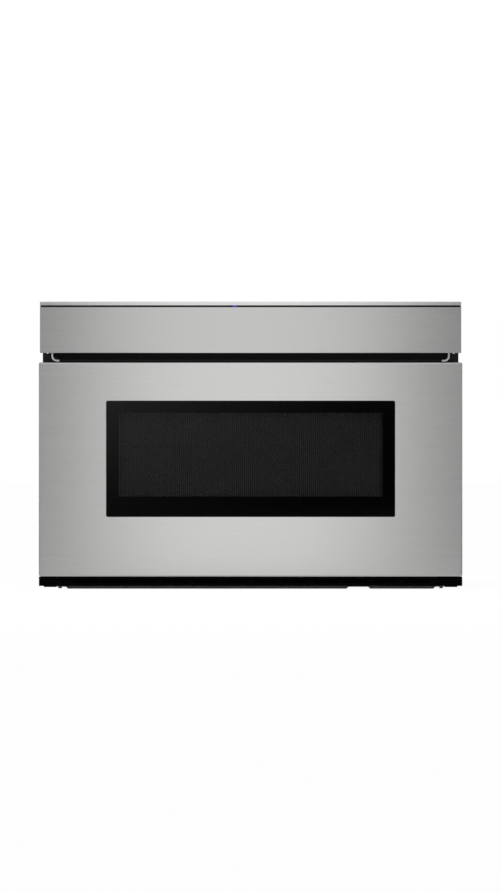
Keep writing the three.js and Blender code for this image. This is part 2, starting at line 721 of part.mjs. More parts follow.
function capacitor() {
  const bottom = panTop + seat;
  const radius = 17;
  const [near, far] = [capacitorX - 18, capacitorX + 18];
  const can = [
    ...arc(far, bayMiddle, radius, -90, 90, 6), ...arc(near, bayMiddle, radius, 90, 270, 6),
  ];
  const body = prism('z', can, bottom, bottom + 86);
  const terminals = [near, far].map((x) => (
    join(
      rod('z', x, bayMiddle, 5, bottom + 85, bottom + 92, 10),
      block(x - 3, x + 3, bayMiddle - 0.4, bayMiddle + 0.4, bottom + 91, bottom + 100),
    )
  ));
  return piece('hv_capacitor', join(body, ...terminals), 'aluminium');
}

function controlBoard() {
  const bottom = cavityTop + seat;
  const x1 = -waveguideWidth / 2 - 24;
  const x0 = x1 - 142;
  const [y0, y1] = [cavityFront + 40, cavityFront + 190];
  const boardZ = bottom + 8;
  const board = prism('z', panel(x0, x1, y0, y1, 2, 1), boardZ, boardZ + 1.6);
  const posts = [x0 + 8, x1 - 8].flatMap((x) => [y0 + 8, y1 - 8].map((y) => (
    rod('z', x, y, 3.5, bottom, boardZ + 0.5, 8)
  )));
  const blocks = [
    [x0 + 18, x0 + 56, y0 + 20, y0 + 52, 30],
    [x0 + 66, x0 + 86, y0 + 18, y0 + 46, 16],
    [x0 + 92, x0 + 112, y0 + 18, y0 + 46, 16],
    [x0 + 66, x0 + 86, y0 + 56, y0 + 84, 16],
    [x0 + 20, x0 + 60, y1 - 36, y1 - 20, 12],
    [x1 - 44, x1 - 14, y1 - 60, y1 - 44, 22],
  ].map(([a, b, c, d, tall]) => block(a, b, c, d, boardZ + 1, boardZ + 1.6 + tall));
  const cans = [[x0 + 100, y1 - 30], [x0 + 76, y1 - 30]].map(([x, y]) => (
    rod('z', x, y, 8, boardZ + 1, boardZ + 26, 12)
  ));
  return piece('control_board', join(board, ...posts, ...blocks, ...cans), 'circuitBoard');
}

function noiseFilter() {
  const back = rearY - frameSheet - seat;
  const [x, z, half, tall] = [glandX - 78, glandZ + 3, 40, 27]; // beside the cord gland
  const board = prism('y', panel(x - half, x + half, z - tall, z + tall, 2, 1), back - 8, back - 6.4);
  const posts = [6 - half, half - 6].flatMap((across) => [6 - tall, tall - 6].map((up) => (
    rod('y', x + across, z + up, 3, back - 7, back, 8)
  )));
  const winding = [[6, 7], [14, 7], [14, 20], [6, 20], [6, 7]];
  const choke = turned('y', x - 18, z - 1, winding, 14).translate(0, back, 0);
  const capacitors = [[-21, -9], [3, 17]].map(([from, to]) => (
    block(x + 4, x + 30, back - 22, back - 7, z + from, z + to)
  ));
  return piece('noise_filter', join(board, ...posts, choke, ...capacitors), 'circuitBoard');
}

function cordGland() {
  const inner = rearY - frameSheet - 8;
  const outer = rearY + glandProud;
  const body = rod('y', glandX, glandZ, glandRadius, inner, rearY + 1, 16);
  const flange = rod('y', glandX, glandZ, glandRadius + 4, rearY + seat, rearY + seat + 2, 16);
  const barrel = rod('y', glandX, glandZ, glandRadius - 2, rearY, outer, 16);
  const bore = rod('y', glandX, glandZ, 5, inner - 1, outer + 1, 12);
  return piece('cord_gland', cut(join(body, flange, barrel), bore), 'blackPlastic');
}

// ---------------------------------------------------------------- cooling fan

function fanHousing() {
  const half = fanRadius + 9;
  const [from, to] = fanHousingX;
  const ring = prism(
    'x', panel(bayMiddle - half, bayMiddle + half, fanZ - half, fanZ + half, 8), from, to,
    [circle(bayMiddle, fanZ, fanRadius + 2.5, 24)],
  );
  const arms = [30, 150, 270].map((angle) => (
    prism('x', [[0, -3], [fanRadius + 6, -3], [fanRadius + 6, 3], [0, 3]], from, from + 4)
      .rotate([angle, 0, 0])
      .translate(0, bayMiddle, fanZ)
  ));
  const hub = rod('x', bayMiddle, fanZ, 15, from, from + 4, 16);
  const bore = rod('x', bayMiddle, fanZ, 3.4, from - 1, from + 5, 10);
  return piece('fan_housing', cut(join(ring, ...arms, hub), bore), 'blackPlastic');
}

function fanMotor() {
  const to = fanHousingX[0] - seat;
  const stack = prism(
    'x', panel(bayMiddle - 26, bayMiddle + 26, fanZ - 32, fanZ + 22, 3, 1), to - 20, to - 4,
  );
  const coil = prism(
    'x', panel(bayMiddle - 16, bayMiddle + 16, fanZ - 30, fanZ - 14, 4), to - 30, to - 1.5,
  );
  const bearings = rod('x', bayMiddle, fanZ, 10, to - 27, to, 14);
  return piece('fan_motor', join(stack, coil, bearings), 'laminations');
}

// The fan wheel, about its own axis, which lies along x
function fanImpeller() {
  const [from, to] = [fanHousingX[0] + 5, fanHousingX[1]];
  const middle = (from + to) / 2;
  const hub = cut(rod('x', 0, 0, 13, from, to, 16), rod('x', 0, 0, 11, from + 3, to + 1, 14));
  const boss = rod('x', 0, 0, 5, from, to - 2, 12);
  const shaft = rod('x', 0, 0, 2.9, fanHousingX[0], from + 2, 10);
  const blades = Array.from({ length: fanBlades }, (_, i) => (
    fanBlade(middle, (360 / fanBlades) * i)
  ));
  return piece('fan_impeller', join(hub, boss, shaft, ...blades), 'blackPlastic');
}

// One blade: a curved sheet that twists as it goes out
function fanBlade(middle, turn) {
  const stations = [[12, 40], [30, 32], [fanRadius, 24]];
  const section = [[-1, 0.7], [0, 1.7], [1, 0.7], [1, -0.7], [0, 0.3], [-1, -0.7]];
  const rings = stations.map(([radius, pitch]) => {
    const chord = 12 + radius * 0.3;
    const angle = radians(pitch);
    return section.map(([along, off]) => {
      const across = (along * chord) / 2;
      const x = middle - across * Math.sin(angle) + off * Math.cos(angle);
      return [x, across * Math.cos(angle) + off * Math.sin(angle), radius];
    });
  });
  return loft(rings).rotate([turn, 0, 0]);
}

function airDuct() {
  const inlet = fanRadius + 7;
  const coreTop = cavityTop - flangeThickness;
  const rings = (grow) => [
    [fanHousingX[1] + seat, inlet + grow, fanZ - inlet - grow, fanZ + inlet + grow],
    [-magnetronWidth / 2 - seat, magnetronDepth / 2 + grow, coreTop - coreHeight - grow, coreTop + grow],
  ].map(([x, half, z0, z1]) => (
    panel(bayMiddle - half, bayMiddle + half, z0, z1, 3, 1).map(([y, z]) => [x, y, z])
  ));
  const bore = rings(-1.2);
  bore[0] = bore[0].map(([x, y, z]) => [x - 0.01, y, z]);
  bore[1] = bore[1].map(([x, y, z]) => [x + 0.01, y, z]);
  return piece('air_duct', cut(loft(rings(0)), loft(bore)), 'blackPlastic');
}

// ---------------------------------------------------------------- rails and drawer drive

// Sections for the right side, seen from the front
const fixedWeb = bracketX - seat;
const middleWeb = fixedWeb - 6.2;
const drawerWeb = middleWeb - 5;
const rackOuter = drawerWeb - 7.3;

function railSections() {
  const [z0, z1] = [railBottom, railBottom + railHeight];
  const steel = bracketSheet;
  const fixed = [
    [fixedWeb, z0], [fixedWeb, z1], [fixedWeb - 14, z1], [fixedWeb - 14, z1 - steel],
    [fixedWeb - steel, z1 - steel], [fixedWeb - steel, z0 + steel],
    [fixedWeb - 14, z0 + steel], [fixedWeb - 14, z0],
  ];
  const [m0, m1] = [z0 + steel + running, z1 - steel - running];
  const middle = [
    [middleWeb, m0], [middleWeb, m1], [middleWeb - 7, m1], [middleWeb - 7, m1 - 3],
    [middleWeb - steel, m1 - 3], [middleWeb - steel, m0 + 3],
    [middleWeb - 7, m0 + 3], [middleWeb - 7, m0],
  ];
  const [d0, d1] = [m0 + 3 + running, m1 - 3 - running];
  const drawer = [
    [drawerWeb, d0], [drawerWeb, d1], [drawerWeb - 7, d1], [drawerWeb - 7, d1 - 2],
    [drawerWeb - steel, d1 - 2], [drawerWeb - steel, d0 + 2],
    [drawerWeb - 7, d0 + 2], [drawerWeb - 7, d0],
  ];
  return { fixed, middle, drawer };
}

function onSide(side, solid) {
  return side < 0 ? solid.mirror([1, 0, 0]) : solid;
}

function fixedRail(name, side) {
  return piece(name, onSide(side, prism('y', railSections().fixed, ...railY)), 'zincSteel');
}

function middleRail(name, side) {
  return piece(name, onSide(side, prism('y', railSections().middle, ...railY)), 'zincSteel');
}

function drawerRail(name, side) {
  const rail = prism('y', railSections().drawer, chokeBack + seat, railY[1] - 4);
  return piece(name, onSide(side, rail), 'zincSteel');
}

function railBracket(name, side) {
  const [y0, y1] = railY;
  const top = railBottom + railHeight + 4;
  const foot = insideHalf - frameSheet - seat;
  const holes = [circle(shaftY, shaftZ, shaftDiameter / 2 + seat, 16)];
  const [length, pitch] = [55, 82]; // of the lightening holes
  for (let y = y0 + 80; y + length < y1 - 20; y += pitch) {
    holes.push(panel(y, y + length, 16, railBottom - 16, 6, 1));
  }
  const upright = prism(
    'x', panel(y0, y1, deckTop + seat, top, 4, 1), bracketX, bracketX + bracketSheet, holes,
  );
  const base = block(bracketX, foot, y0, y1, deckTop + seat, deckTop + seat + bracketSheet);
  return piece(name, onSide(side, join(upright, base)), 'zincSteel');
}

function rack(name, side) {
  const teeth = rackOutline(
    cabinetY + 2, cabinetY + 2 + travel + 2 * pinionTip, shaftY, rackPitchZ, railBottom + 12,
  );
  const solid = prism('x', teeth, rackOuter - rackWidth, rackOuter);
  return piece(name, onSide(side, solid), 'whitePlastic');
}

// The cross shaft and its pinions, about their own axis, which lies along x
function driveShaft() {
  const end = bracketX + bracketSheet + 2;
  return piece('drive_shaft', rod('x', 0, 0, shaftDiameter / 2, -end, end, 16), 'zincSteel');
}

function drivePinion(name, side) {
  const teeth = gearTeeth(drivePinionTeeth, gearModule, 0.5, 0, drivePinionTeeth - 1, Math.PI / 2);
  const [from, to] = [rackOuter - rackWidth, rackOuter];
  const wheel = prism('x', teeth, from, to);
  const hub = rod('x', 0, 0, 11, from - 8, from + 0.5, 14);
  const bore = rod('x', 0, 0, shaftDiameter / 2 + seat, from - 9, to + 1, 10);
  return piece(name, onSide(side, cut(join(wheel, hub), bore)), 'whitePlastic');
}

function driveMotor() {
  const bottom = panTop + seat;
  const gearbox = cut(
    prism('x', [
      [shaftY - 14, bottom], [shaftY + 26, bottom], [shaftY + 26, shaftZ + 18],
      ...arc(shaftY, shaftZ, 20, 40, 140, 5), [shaftY - 20, shaftZ],
    ], -60, -28),
    rod('x', shaftY, shaftZ, shaftDiameter / 2 + seat, -70, -20, 16),
  );
  const can = rod('y', -44, shaftZ + 4, 17, shaftY + 25, shaftY + 92, 16);
  const tail = rod('y', -44, shaftZ + 4, 6, shaftY + 91, shaftY + 97, 12);
  const feet = block(-74, -14, shaftY + 2, shaftY + 20, bottom, bottom + 3);
  const holes = [-68, -20].map((x) => rod('z', x, shaftY + 11, 2.2, bottom - 1, bottom + 4, 8));
  return piece('drive_motor', cut(join(gearbox, can, tail, feet), ...holes), 'laminations');
}

// ---------------------------------------------------------------- latches

function switchHolder(name, side) {
  const [front, back] = [cabinetY + seat, cabinetY + 36];
  const body = prism('x', [
    [front, hookZ - 24], [back, hookZ - 24], [back + 6, hookZ - 10], [back + 6, hookZ + 18],
    [back - 6, hookZ + 32], [front, hookZ + 32],
  ], hookX - 12, hookX + 12);
  const channel = block(hookX - 6, hookX + 6, front - 1, back - 5, hookZ - 16, hookZ + 22);
  const flange = block(hookX - 12, hookX + 12, front, front + 2, hookZ - 34, hookZ + 50);
  const micro = block(hookX - 12, hookX - 6.5, back - 4, back + 22, hookZ - 4, hookZ + 12);
  return piece(name, onSide(side, join(cut(join(body, flange), channel), micro)), 'whitePlastic');
}

// A latch hook about its own pin, which lies along x
function latchHook(name, side) {
  const tip = cabinetY + 22 - hookPinY;
  const arm = prism('x', [
    ...arc(0, 0, 6, 90, 270, 5), [tip - 12, -5], [tip - 12, -11], [tip - 7, -11],
    [tip, -3], [tip, 4], [tip - 14, 6],
  ], hookX - 1.8, hookX + 1.8);
  const pin = rod('x', 0, 0, 2.5, hookX - 5, hookX + 5, 10);
  return piece(name, onSide(side, join(arm, pin)), 'whitePlastic');
}

// ---------------------------------------------------------------- drawer front

const skinHalf = drawerFrontWidth / 2;
const framePlateY = faceY + 4.7; // front of the frame's plate, behind the glass

function doorSkin() {
  const bend = 2;
  const steps = [[0, bend], [0.6, 0.6], [bend, 0]]; // how far back, how far in
  const outline = (inward) => panel(
    inward - skinHalf, skinHalf - inward, drawerZ[0] + inward, drawerZ[1] - inward, 2,
  );
  const ring = (y, inward) => outline(inward).map(([x, z]) => [x, y, z]).reverse();
  const outer = loft([
    ...steps.map(([back, inward]) => ring(faceY + back, inward)), ring(faceY + skinReturn, 0),
  ]);
  const hollow = prism(
    'y',
    panel(
      frameSheet - skinHalf, skinHalf - frameSheet,
      drawerZ[0] + frameSheet, drawerZ[1] - frameSheet, 1, 1,
    ),
    faceY + frameSheet,
    faceY + skinReturn + 1,
  );
  const opening = prism(
    'y',
    panel(-windowHalf - seat, windowHalf + seat, windowZ[0] - seat, windowZ[1] + seat, 2.3),
    faceY - 1,
    faceY + 5,
  );
  return piece('door_skin', cut(outer, hollow, opening), 'stainless');
}

function doorGlass() {
  const glass = prism(
    'y', panel(-windowHalf, windowHalf, ...windowZ, 2), faceY + 0.4, faceY + 0.4 + glassThickness,
  );
  return piece('door_glass', glass, 'blackGlass');
}

const tubeWall = 1.5;
const tubeHalf = screenHalf + 2; // inside of the window tube behind the screen
const tubeZ = [screenZ[0] - 2, screenZ[1] + 2];
const chokeBack = doorBack - 2.4;

function ringPrism(half, z0, z1, wall, from, to, corner) {
  return prism(
    'y', panel(-half, half, z0, z1, corner), from, to,
    [panel(wall - half, half - wall, z0 + wall, z1 - wall, Math.max(corner - wall, 1))],
  );
}

function doorFrame() {
  const wall = tubeWall;
  const inset = frameSheet + seat;
  const plate = prism(
    'y',
    panel(-skinHalf + inset, skinHalf - inset, drawerZ[0] + inset, drawerZ[1] - inset, 2, 1),
    framePlateY,
    framePlateY + wall,
    [panel(-screenHalf, screenHalf, ...screenZ, 3)],
  );
  const from = framePlateY + wall / 2;
  const outerWall = ringPrism(
    cavityHalf + 22.5, cavityZ[0] - 22.5, cavityZ[1] + 22.5, wall, from, chokeBack, 12,
  );
  const innerHalf = cavityHalf + 2.5;
  const innerWall = ringPrism(
    innerHalf, cavityZ[0] - 2.5, cavityZ[1] + 2.5, wall, from, chokeBack, 8,
  );
  const tube = ringPrism(
    tubeHalf + wall, tubeZ[0] - wall, tubeZ[1] + wall, wall, from, chokeBack, 4,
  );
  const landMiddle = (tubeHalf + innerHalf) / 2;
  const drainHoles = [-landMiddle, landMiddle].map((x) => circle(x, (tubeZ[0] + tubeZ[1]) / 2, 5, 8));
  const land = prism(
    'y', panel(-innerHalf, innerHalf, cavityZ[0] - 2.5, cavityZ[1] + 2.5, 8),
    chokeBack - wall, chokeBack, [panel(-tubeHalf, tubeHalf, ...tubeZ, 2.5), ...drainHoles],
  );
  const railArms = [-1, 1].map((side) => onSide(side, prism(
    'y',
    [
      [rackOuter - rackWidth, rackPitchZ - 3], [drawerWeb, rackPitchZ - 3],
      [drawerWeb, railBottom + railHeight - 5], [drawerWeb - 12, railBottom + railHeight - 5],
      [drawerWeb - 12, railBottom + railHeight - 7], [drawerWeb - 2, railBottom + railHeight - 7],
      [drawerWeb - 2, rackPitchZ - 1], [rackOuter - rackWidth, rackPitchZ - 1],
    ],
    from, chokeBack,
  )));
  const hookEars = [-1, 1].flatMap((side) => [-5, 2.5].map((offset) => onSide(side, cut(
    block(hookX + offset, hookX + offset + 2.5, from, hookPinY + 8, hookZ - 9, hookZ + 9),
    rod('x', hookPinY, hookZ, 2.5 + seat, hookX - 8, hookX + 8, 10),
  ))));
  return piece(
    'door_frame', join(plate, outerWall, innerWall, tube, land, ...railArms, ...hookEars), 'zincSteel',
  );
}

function doorScreen() {
  const from = framePlateY + tubeWall + seat;
  const sheet = prism(
    'y', panel(seat - tubeHalf, tubeHalf - seat, tubeZ[0] + seat, tubeZ[1] - seat, 2, 1),
    from, from + 0.8,
  );
  return piece('door_screen', sheet, 'blackPaint');
}

function innerGlass() {
  const pane = prism(
    'y', panel(seat - tubeHalf, tubeHalf - seat, tubeZ[0] + seat, tubeZ[1] - seat, 2, 1),
    chokeBack - 3, chokeBack,
  );
  return piece('inner_glass', pane, 'clearGlass');
}

function chokeCover() {
  const opening = panel(-screenHalf - 1, screenHalf + 1, screenZ[0] - 1, screenZ[1] + 1, 4);
  const [z0, z1] = [cavityZ[0] - 24, cavityZ[1] + 24];
  const from = chokeBack + seat;
  const half = cavityHalf + 24;
  const sheet = prism('y', panel(-half, half, z0, z1, 12), from, doorBack - 0.2, [opening]);
  const rib = ringPrism(cavityHalf + 20, cavityZ[0] - 20, cavityZ[1] + 20, 1.5, from - 8, from + 0.5, 10);
  return piece('choke_cover', join(sheet, rib), 'blackPlastic');
}

// ---------------------------------------------------------------- drawer basket

const basketHalf = cavityHalf - 7;
const basketDraft = 14; // the floor is narrower than the rim by this much on each side
const basketHeight = 108;
const basketSheet = 1.2;
const basketGap = 3; // floor of the basket over the cavity's floor
const basketCorner = 18;
const basketSill = 16; // height of the low wall at the front, under the window's view

function drawerBasket() {
  const [z0, z1] = [cavityZ[0] + basketGap, cavityZ[0] + basketGap + basketHeight];
  const [front, back] = [doorBack + 0.1, cavityBack - 10];
  const ring = (z, grow, corner) => {
    const draft = basketDraft * ((z1 - z) / basketHeight);
    const half = basketHalf - draft + grow;
    return panel(-half, half, front - grow, back - draft + grow, corner, 3).map(([x, y]) => [x, y, z]);
  };
  const innerCorner = basketCorner - basketSheet;
  const outer = loft([
    ring(z0, -5, basketCorner - 4), ring(z0 + 5, 0, basketCorner), ring(z1, 0, basketCorner),
  ]);
  const inner = loft([
    ring(z0 + basketSheet, -5 - basketSheet, innerCorner - 4.8), ring(z0 + 5, -basketSheet, innerCorner),
    ring(z1 + 0.01, -basketSheet, innerCorner),
  ]);
  const rimHoleHalf = basketHalf - basketSheet;
  const rimOuter = panel(-basketHalf - 4, basketHalf + 4, front, back + 4, basketCorner + 2, 3);
  const rim = prism('z', rimOuter, z1 - 1.2, z1, [
    panel(-rimHoleHalf, rimHoleHalf, front + basketSheet, back - basketSheet, innerCorner, 3),
  ]);
  const notchHalf = basketHalf - basketCorner;
  const windowCut = block(-notchHalf, notchHalf, front - 2, front + 20, z0 + basketSill, z1 + 1);
  return piece('drawer_basket', cut(join(cut(outer, inner), rim), windowCut), 'enamel');
}

function ceramicTray() {
  const z0 = cavityZ[0] + basketGap + basketSheet + seat;
  const half = basketHalf - basketDraft - 12;
  const [front, back] = [doorBack + 12, cavityBack - 34];
  const ring = (z, grow, corner) => (
    panel(-half - grow, half + grow, front - grow, back + grow, corner, 3).map(([x, y]) => [x, y, z])
  );
  const outer = loft([ring(z0, -3, 12), ring(z0 + 10, 0, 14)]);
  const recess = loft([ring(z0 + 5, -9, 8), ring(z0 + 10.01, -5, 10)]);
  return piece('ceramic_tray', cut(outer, recess), 'ceramic');
}

// ---------------------------------------------------------------- control pod

function podCradle() {
  const [bottom, top] = [fasciaZ[0] - cradleDrop, fasciaZ[1] - 6];
  const section = [
    [cradleHalf, top], [cradleHalf - cradleSheet, top],
    ...arc(cradleHalf - cradleBend, bottom + cradleBend, cradleBend - cradleSheet, 0, -90, 3),
    ...arc(cradleBend - cradleHalf, bottom + cradleBend, cradleBend - cradleSheet, 270, 180, 3),
    [cradleSheet - cradleHalf, top], [-cradleHalf, top],
    ...arc(cradleBend - cradleHalf, bottom + cradleBend, cradleBend, 180, 270, 3),
    ...arc(cradleHalf - cradleBend, bottom + cradleBend, cradleBend, -90, 0, 3),
  ];
  const back = flangeY - seat - frameSheet - seat;
  return piece('pod_cradle', prism('y', section, faceY + 14, back), 'stainless');
}

function podPivot(name, side) {
  const inner = cradleHalf - cradleSheet - seat;
  const pin = rod('x', pivotY, pivotZ, pivotDiameter / 2, podHalf - 6, inner, 14);
  const eye = pivotDiameter / 2 + 0.4;
  const floor = cradleBend - cradleDrop - pivotUp;
  const plate = prism('x', [
    ...arc(0, 0, eye, 90, 240, 5), [eye, -3.8], [7, -3.8], [7, floor], [40, floor], [40, 5],
  ], inner - 3, inner).translate(0, pivotY, pivotZ);
  return piece(name, onSide(side, join(pin, plate)), 'zincSteel');
}

const tiltPitchRadius = (tiltModule * tiltSectorTeeth) / 2;
const tiltPinionRadius = (tiltModule * tiltPinionTeeth) / 2;
const tiltCentre = tiltPitchRadius + tiltPinionRadius;
const sectorX = [-podHalf - 6.4, -podHalf + 0.5];

// Pod pieces are drawn about the pivot, with y back and z up from it
const podFaceY = -pivotBack;
const podFloor = -pivotUp;
const glassFront = [podFaceY + 1.5, fasciaHeight - pivotUp + glassGap - 0.5];
const glassBack = pivotSlope(52);

// A point on the glass's upper face, so far behind its front edge
function pivotSlope(distance) {
  const slope = radians(glassSlope);
  return [
    glassFront[0] + distance * Math.cos(slope),
    glassFront[1] - distance * Math.sin(slope),
  ];
}

function podFascia() {
  const half = fasciaWidth / 2;
  const sheet = frameSheet;
  const top = fasciaHeight - pivotUp;
  const front = [
    [podFaceY, podFloor + 1.5], [podFaceY + 0.4, podFloor + 0.4], [podFaceY + 1.5, podFloor],
    [-3, podFloor], [-3, podFloor + sheet], [podFaceY + sheet, podFloor + sheet],
    [podFaceY + sheet, top], [podFaceY + 0.4, top], [podFaceY, top - 0.6],
  ];
  const plate = prism('x', front, -half, half);
  const reach = Math.min(podReach, Math.hypot(podFaceY, top));
  const cheekBack = 30;
  const start = (Math.acos(cheekBack / reach) * 180) / Math.PI;
  const end = (Math.acos((podFaceY + 0.6) / reach) * 180) / Math.PI;
  const cheek = [
    [podFaceY + 0.6, podFloor + 0.6], [cheekBack, podFloor + 0.6], ...arc(0, 0, reach - 0.4, start, end, 6),
  ];
  const cheeks = [-half, half - sheet].map((x) => prism('x', cheek, x, x + sheet));
  return piece('pod_fascia', join(plate, ...cheeks), 'stainless');
}

function podHousing() {
  const wall = 2;
  const half = podHalf;
  const deckHalf = cradleHalf - cradleSheet - 1.7;
  const slope = radians(glassSlope);
  const under = (distance, drop) => {
    const [y, z] = pivotSlope(distance);
    return [y - drop * Math.sin(slope), z - drop * Math.cos(slope)];
  };
  // The point at y on the plane that lies so far under the glass's upper face
  const frontTop = (y, drop) => {
    const [y0, z0] = under(0, drop);
    return [y, z0 - (y - y0) * Math.tan(slope)];
  };
  const deckDrop = touchGlassThickness + seat;
  const backRadius = flangeY - pivotY - 2.3;
  const frontY = podFaceY + frameSheet + seat;
  const floor = podFloor + frameSheet + seat;
  const backFrom = (Math.asin(floor / backRadius) * 180) / Math.PI;
  const backTo = 32;
  const outline = (inward) => [
    [frontY + inward, floor + inward],
    ...arc(0, 0, backRadius - inward, backFrom + inward, backTo, 6),
    under(50 - inward, deckDrop + inward), frontTop(frontY + inward, deckDrop + inward),
  ];
  const shell = prism('x', outline(0), -half, half);
  const hollow = prism('x', outline(wall), wall - half, half - wall);
  const deck = prism('x', [
    under(4, deckDrop), under(4, deckDrop + wall), under(51, deckDrop + wall), under(51, deckDrop),
  ], -deckHalf, deckHalf);
  const pinHole = rod('x', 0, 0, pivotDiameter / 2 + seat, -half - 10, half + 10, 14);
  const opening = prism('x', [
    under(10, deckDrop - 5), under(10, deckDrop + wall + 5),
    under(44, deckDrop + wall + 5), under(44, deckDrop - 5),
  ], -180, 180);
  const bosses = [-half, half - 5].map((x) => prism('x', circle(0, 0, 5.2, 14), x, x + 5));
  const { half: across, bottom, top } = cableSlot;
  const cable = prism('y', panel(cableX - across, cableX + across, bottom, top, 3, 1), 30, backRadius + 10);
  const body = cut(join(cut(shell, hollow), deck, ...bosses), pinHole, opening, cable);
  return piece('pod_housing', join(body, tiltSector()), 'blackPlastic');
}

// The toothed sector on the left end of the pod
function tiltSector() {
  const toothStep = (2 * Math.PI) / tiltSectorTeeth;
  const gapAngle = radians(tiltPinionAngle);
  const margin = radians(8);
  const first = -Math.ceil((radians(tiltRange) + margin) / toothStep);
  const last = Math.ceil(margin / toothStep);
  const rim = gearTeeth(
    tiltSectorTeeth, tiltModule, 0.2, first, last, gapAngle - toothStep / 2,
  );
  const hubRadius = 6.4;
  const endAngle = (Math.atan2(rim.at(-1)[1], rim.at(-1)[0]) * 180) / Math.PI;
  const startAngle = (Math.atan2(rim[0][1], rim[0][0]) * 180) / Math.PI;
  const outline = [...rim, ...arc(0, 0, hubRadius, endAngle + 20, startAngle + 340, 6)];
  return prism('x', outline, ...sectorX, [circle(0, 0, pivotDiameter / 2 + seat, 14)]);
}

function touchGlass() {
  const half = cradleHalf - cradleSheet - 1.7;
  const slope = radians(glassSlope);
  const below = ([y, z]) => [
    y - touchGlassThickness * Math.sin(slope), z - touchGlassThickness * Math.cos(slope),
  ];
  const pane = prism('x', [
    glassFront, [glassFront[0], glassFront[1] - 2], below(pivotSlope(2)), below(glassBack), glassBack,
  ], -half, half);
  const notch = block(
    lensX - lensWidth / 2 - seat, lensX + lensWidth / 2 + seat,
    glassFront[0] - 1, glassFront[0] + 5, glassFront[1] - 6, glassFront[1] + 2,
  );
  return piece('touch_glass', cut(pane, notch), 'blackGlass');
}

function statusLens() {
  const [y, z] = glassFront;
  const fall = 4.6 * Math.tan(radians(glassSlope));
  const lens = prism('x', [
    [y, z - 2], [y + 4.6, z - 2 - fall], [y + 4.6, z - fall - 0.1], [y, z - 0.1],
  ], lensX - lensWidth / 2, lensX + lensWidth / 2);
  return piece('status_lens', lens, 'blueLens');
}

const motorOffset = 8; // the motor's output sits off its middle

function podMotor() {
  const angle = radians(tiltPinionAngle);
  const [shaft, middle] = [tiltCentre, tiltCentre - motorOffset]
    .map((radius) => [pivotY + radius * Math.cos(angle), pivotZ + radius * Math.sin(angle)]);
  const from = -(cradleHalf - cradleSheet - seat);
  const to = sectorX[0] - 1;
  const can = rod('x', ...middle, 14, from, to, 18);
  const output = rod('x', ...shaft, 2.5, to - 1, sectorX[1] - 1.2, 10);
  return piece('pod_motor', join(can, output), 'zincSteel');
}

// The pinion that drives the sector, about its own axis, which lies along x
function podPinion() {
  const toPivot = radians(tiltPinionAngle + 180);
  const teeth = gearTeeth(tiltPinionTeeth, tiltModule, 0.2, 0, tiltPinionTeeth - 1, toPivot);
  const wheel = prism('x', teeth, sectorX[0], sectorX[1] - 1.2, [circle(0, 0, 2.5 + seat, 10)]);
  return piece('pod_pinion', wheel, 'whitePlastic');
}

// ---------------------------------------------------------------- assembly

function placed(group, x, y, z) {
  group.position.set(x, y, z);
  return group;
}

function groupOf(...meshes) {
  const group = new THREE.Group();
  group.add(...meshes);
  return group;
}

const sides = [['left', -1], ['right', 1]];
const bothSides = (make, name) => sides.map(([word, side]) => make(`${name}_${word}`, side));

const chassis = groupOf(
  basePlate(), outerCase(), rearPanel(), frontFlange(), topTrim(), ventGrille(),
  ...bothSides(endCap, 'end_cap'), cavityShell(), stirrerCover(), waveguide(), stirrerMotor(),
  magnetron(), magnetronAntenna(), ovenLamp(), transformer(), capacitor(), controlBoard(),
  noiseFilter(), cordGland(), fanHousing(), fanMotor(), airDuct(),
  ...bothSides(railBracket, 'rail_bracket'),
  ...bothSides(fixedRail, 'fixed_rail'), driveMotor(), ...bothSides(switchHolder, 'switch_holder'),
  podCradle(), ...bothSides(podPivot, 'pod_pivot'), podMotor(),
);
const drawer = groupOf(
  doorSkin(), doorGlass(), doorFrame(), doorScreen(), innerGlass(), chokeCover(), drawerBasket(),
  ceramicTray(), ...bothSides(drawerRail, 'drawer_rail'), ...bothSides(rack, 'rack'),
);
const middleRails = groupOf(...bothSides(middleRail, 'middle_rail'));
const latchHooks = placed(groupOf(...bothSides(latchHook, 'latch_hook')), 0, hookPinY, hookZ);
const driveTrain = placed(groupOf(driveShaft(), ...bothSides(drivePinion, 'pinion')), 0, shaftY, shaftZ);
const stirrer = placed(groupOf(stirrerFan()), 0, cavityMiddle, 0);
const fan = placed(groupOf(fanImpeller()), 0, bayMiddle, fanZ);
const pod = placed(groupOf(podFascia(), podHousing(), touchGlass(), statusLens()), 0, pivotY, pivotZ);
const tiltDrive = placed(
  groupOf(podPinion()),
  0,
  pivotY + tiltCentre * Math.cos(radians(tiltPinionAngle)),
  pivotZ + tiltCentre * Math.sin(radians(tiltPinionAngle)),
);

export default groupOf(
  chassis, drawer, middleRails, latchHooks, driveTrain, stirrer, fan, pod, tiltDrive,
);
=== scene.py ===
"""Looks of a built-in microwave drawer, laid out as a Blender add-on and run as a script.

The packed model is the frame. Each operator gives one group of its pieces their finishes, and makes the
pieces that the frame holds as a plain solid or not at all. Everything is in metres, in the frame's own
axes: +X is right, the front faces -Y, +Z is up.
"""

import math

import bmesh
import bpy
from bpy.props import FloatProperty, FloatVectorProperty, PointerProperty
from mathutils import Matrix, Vector


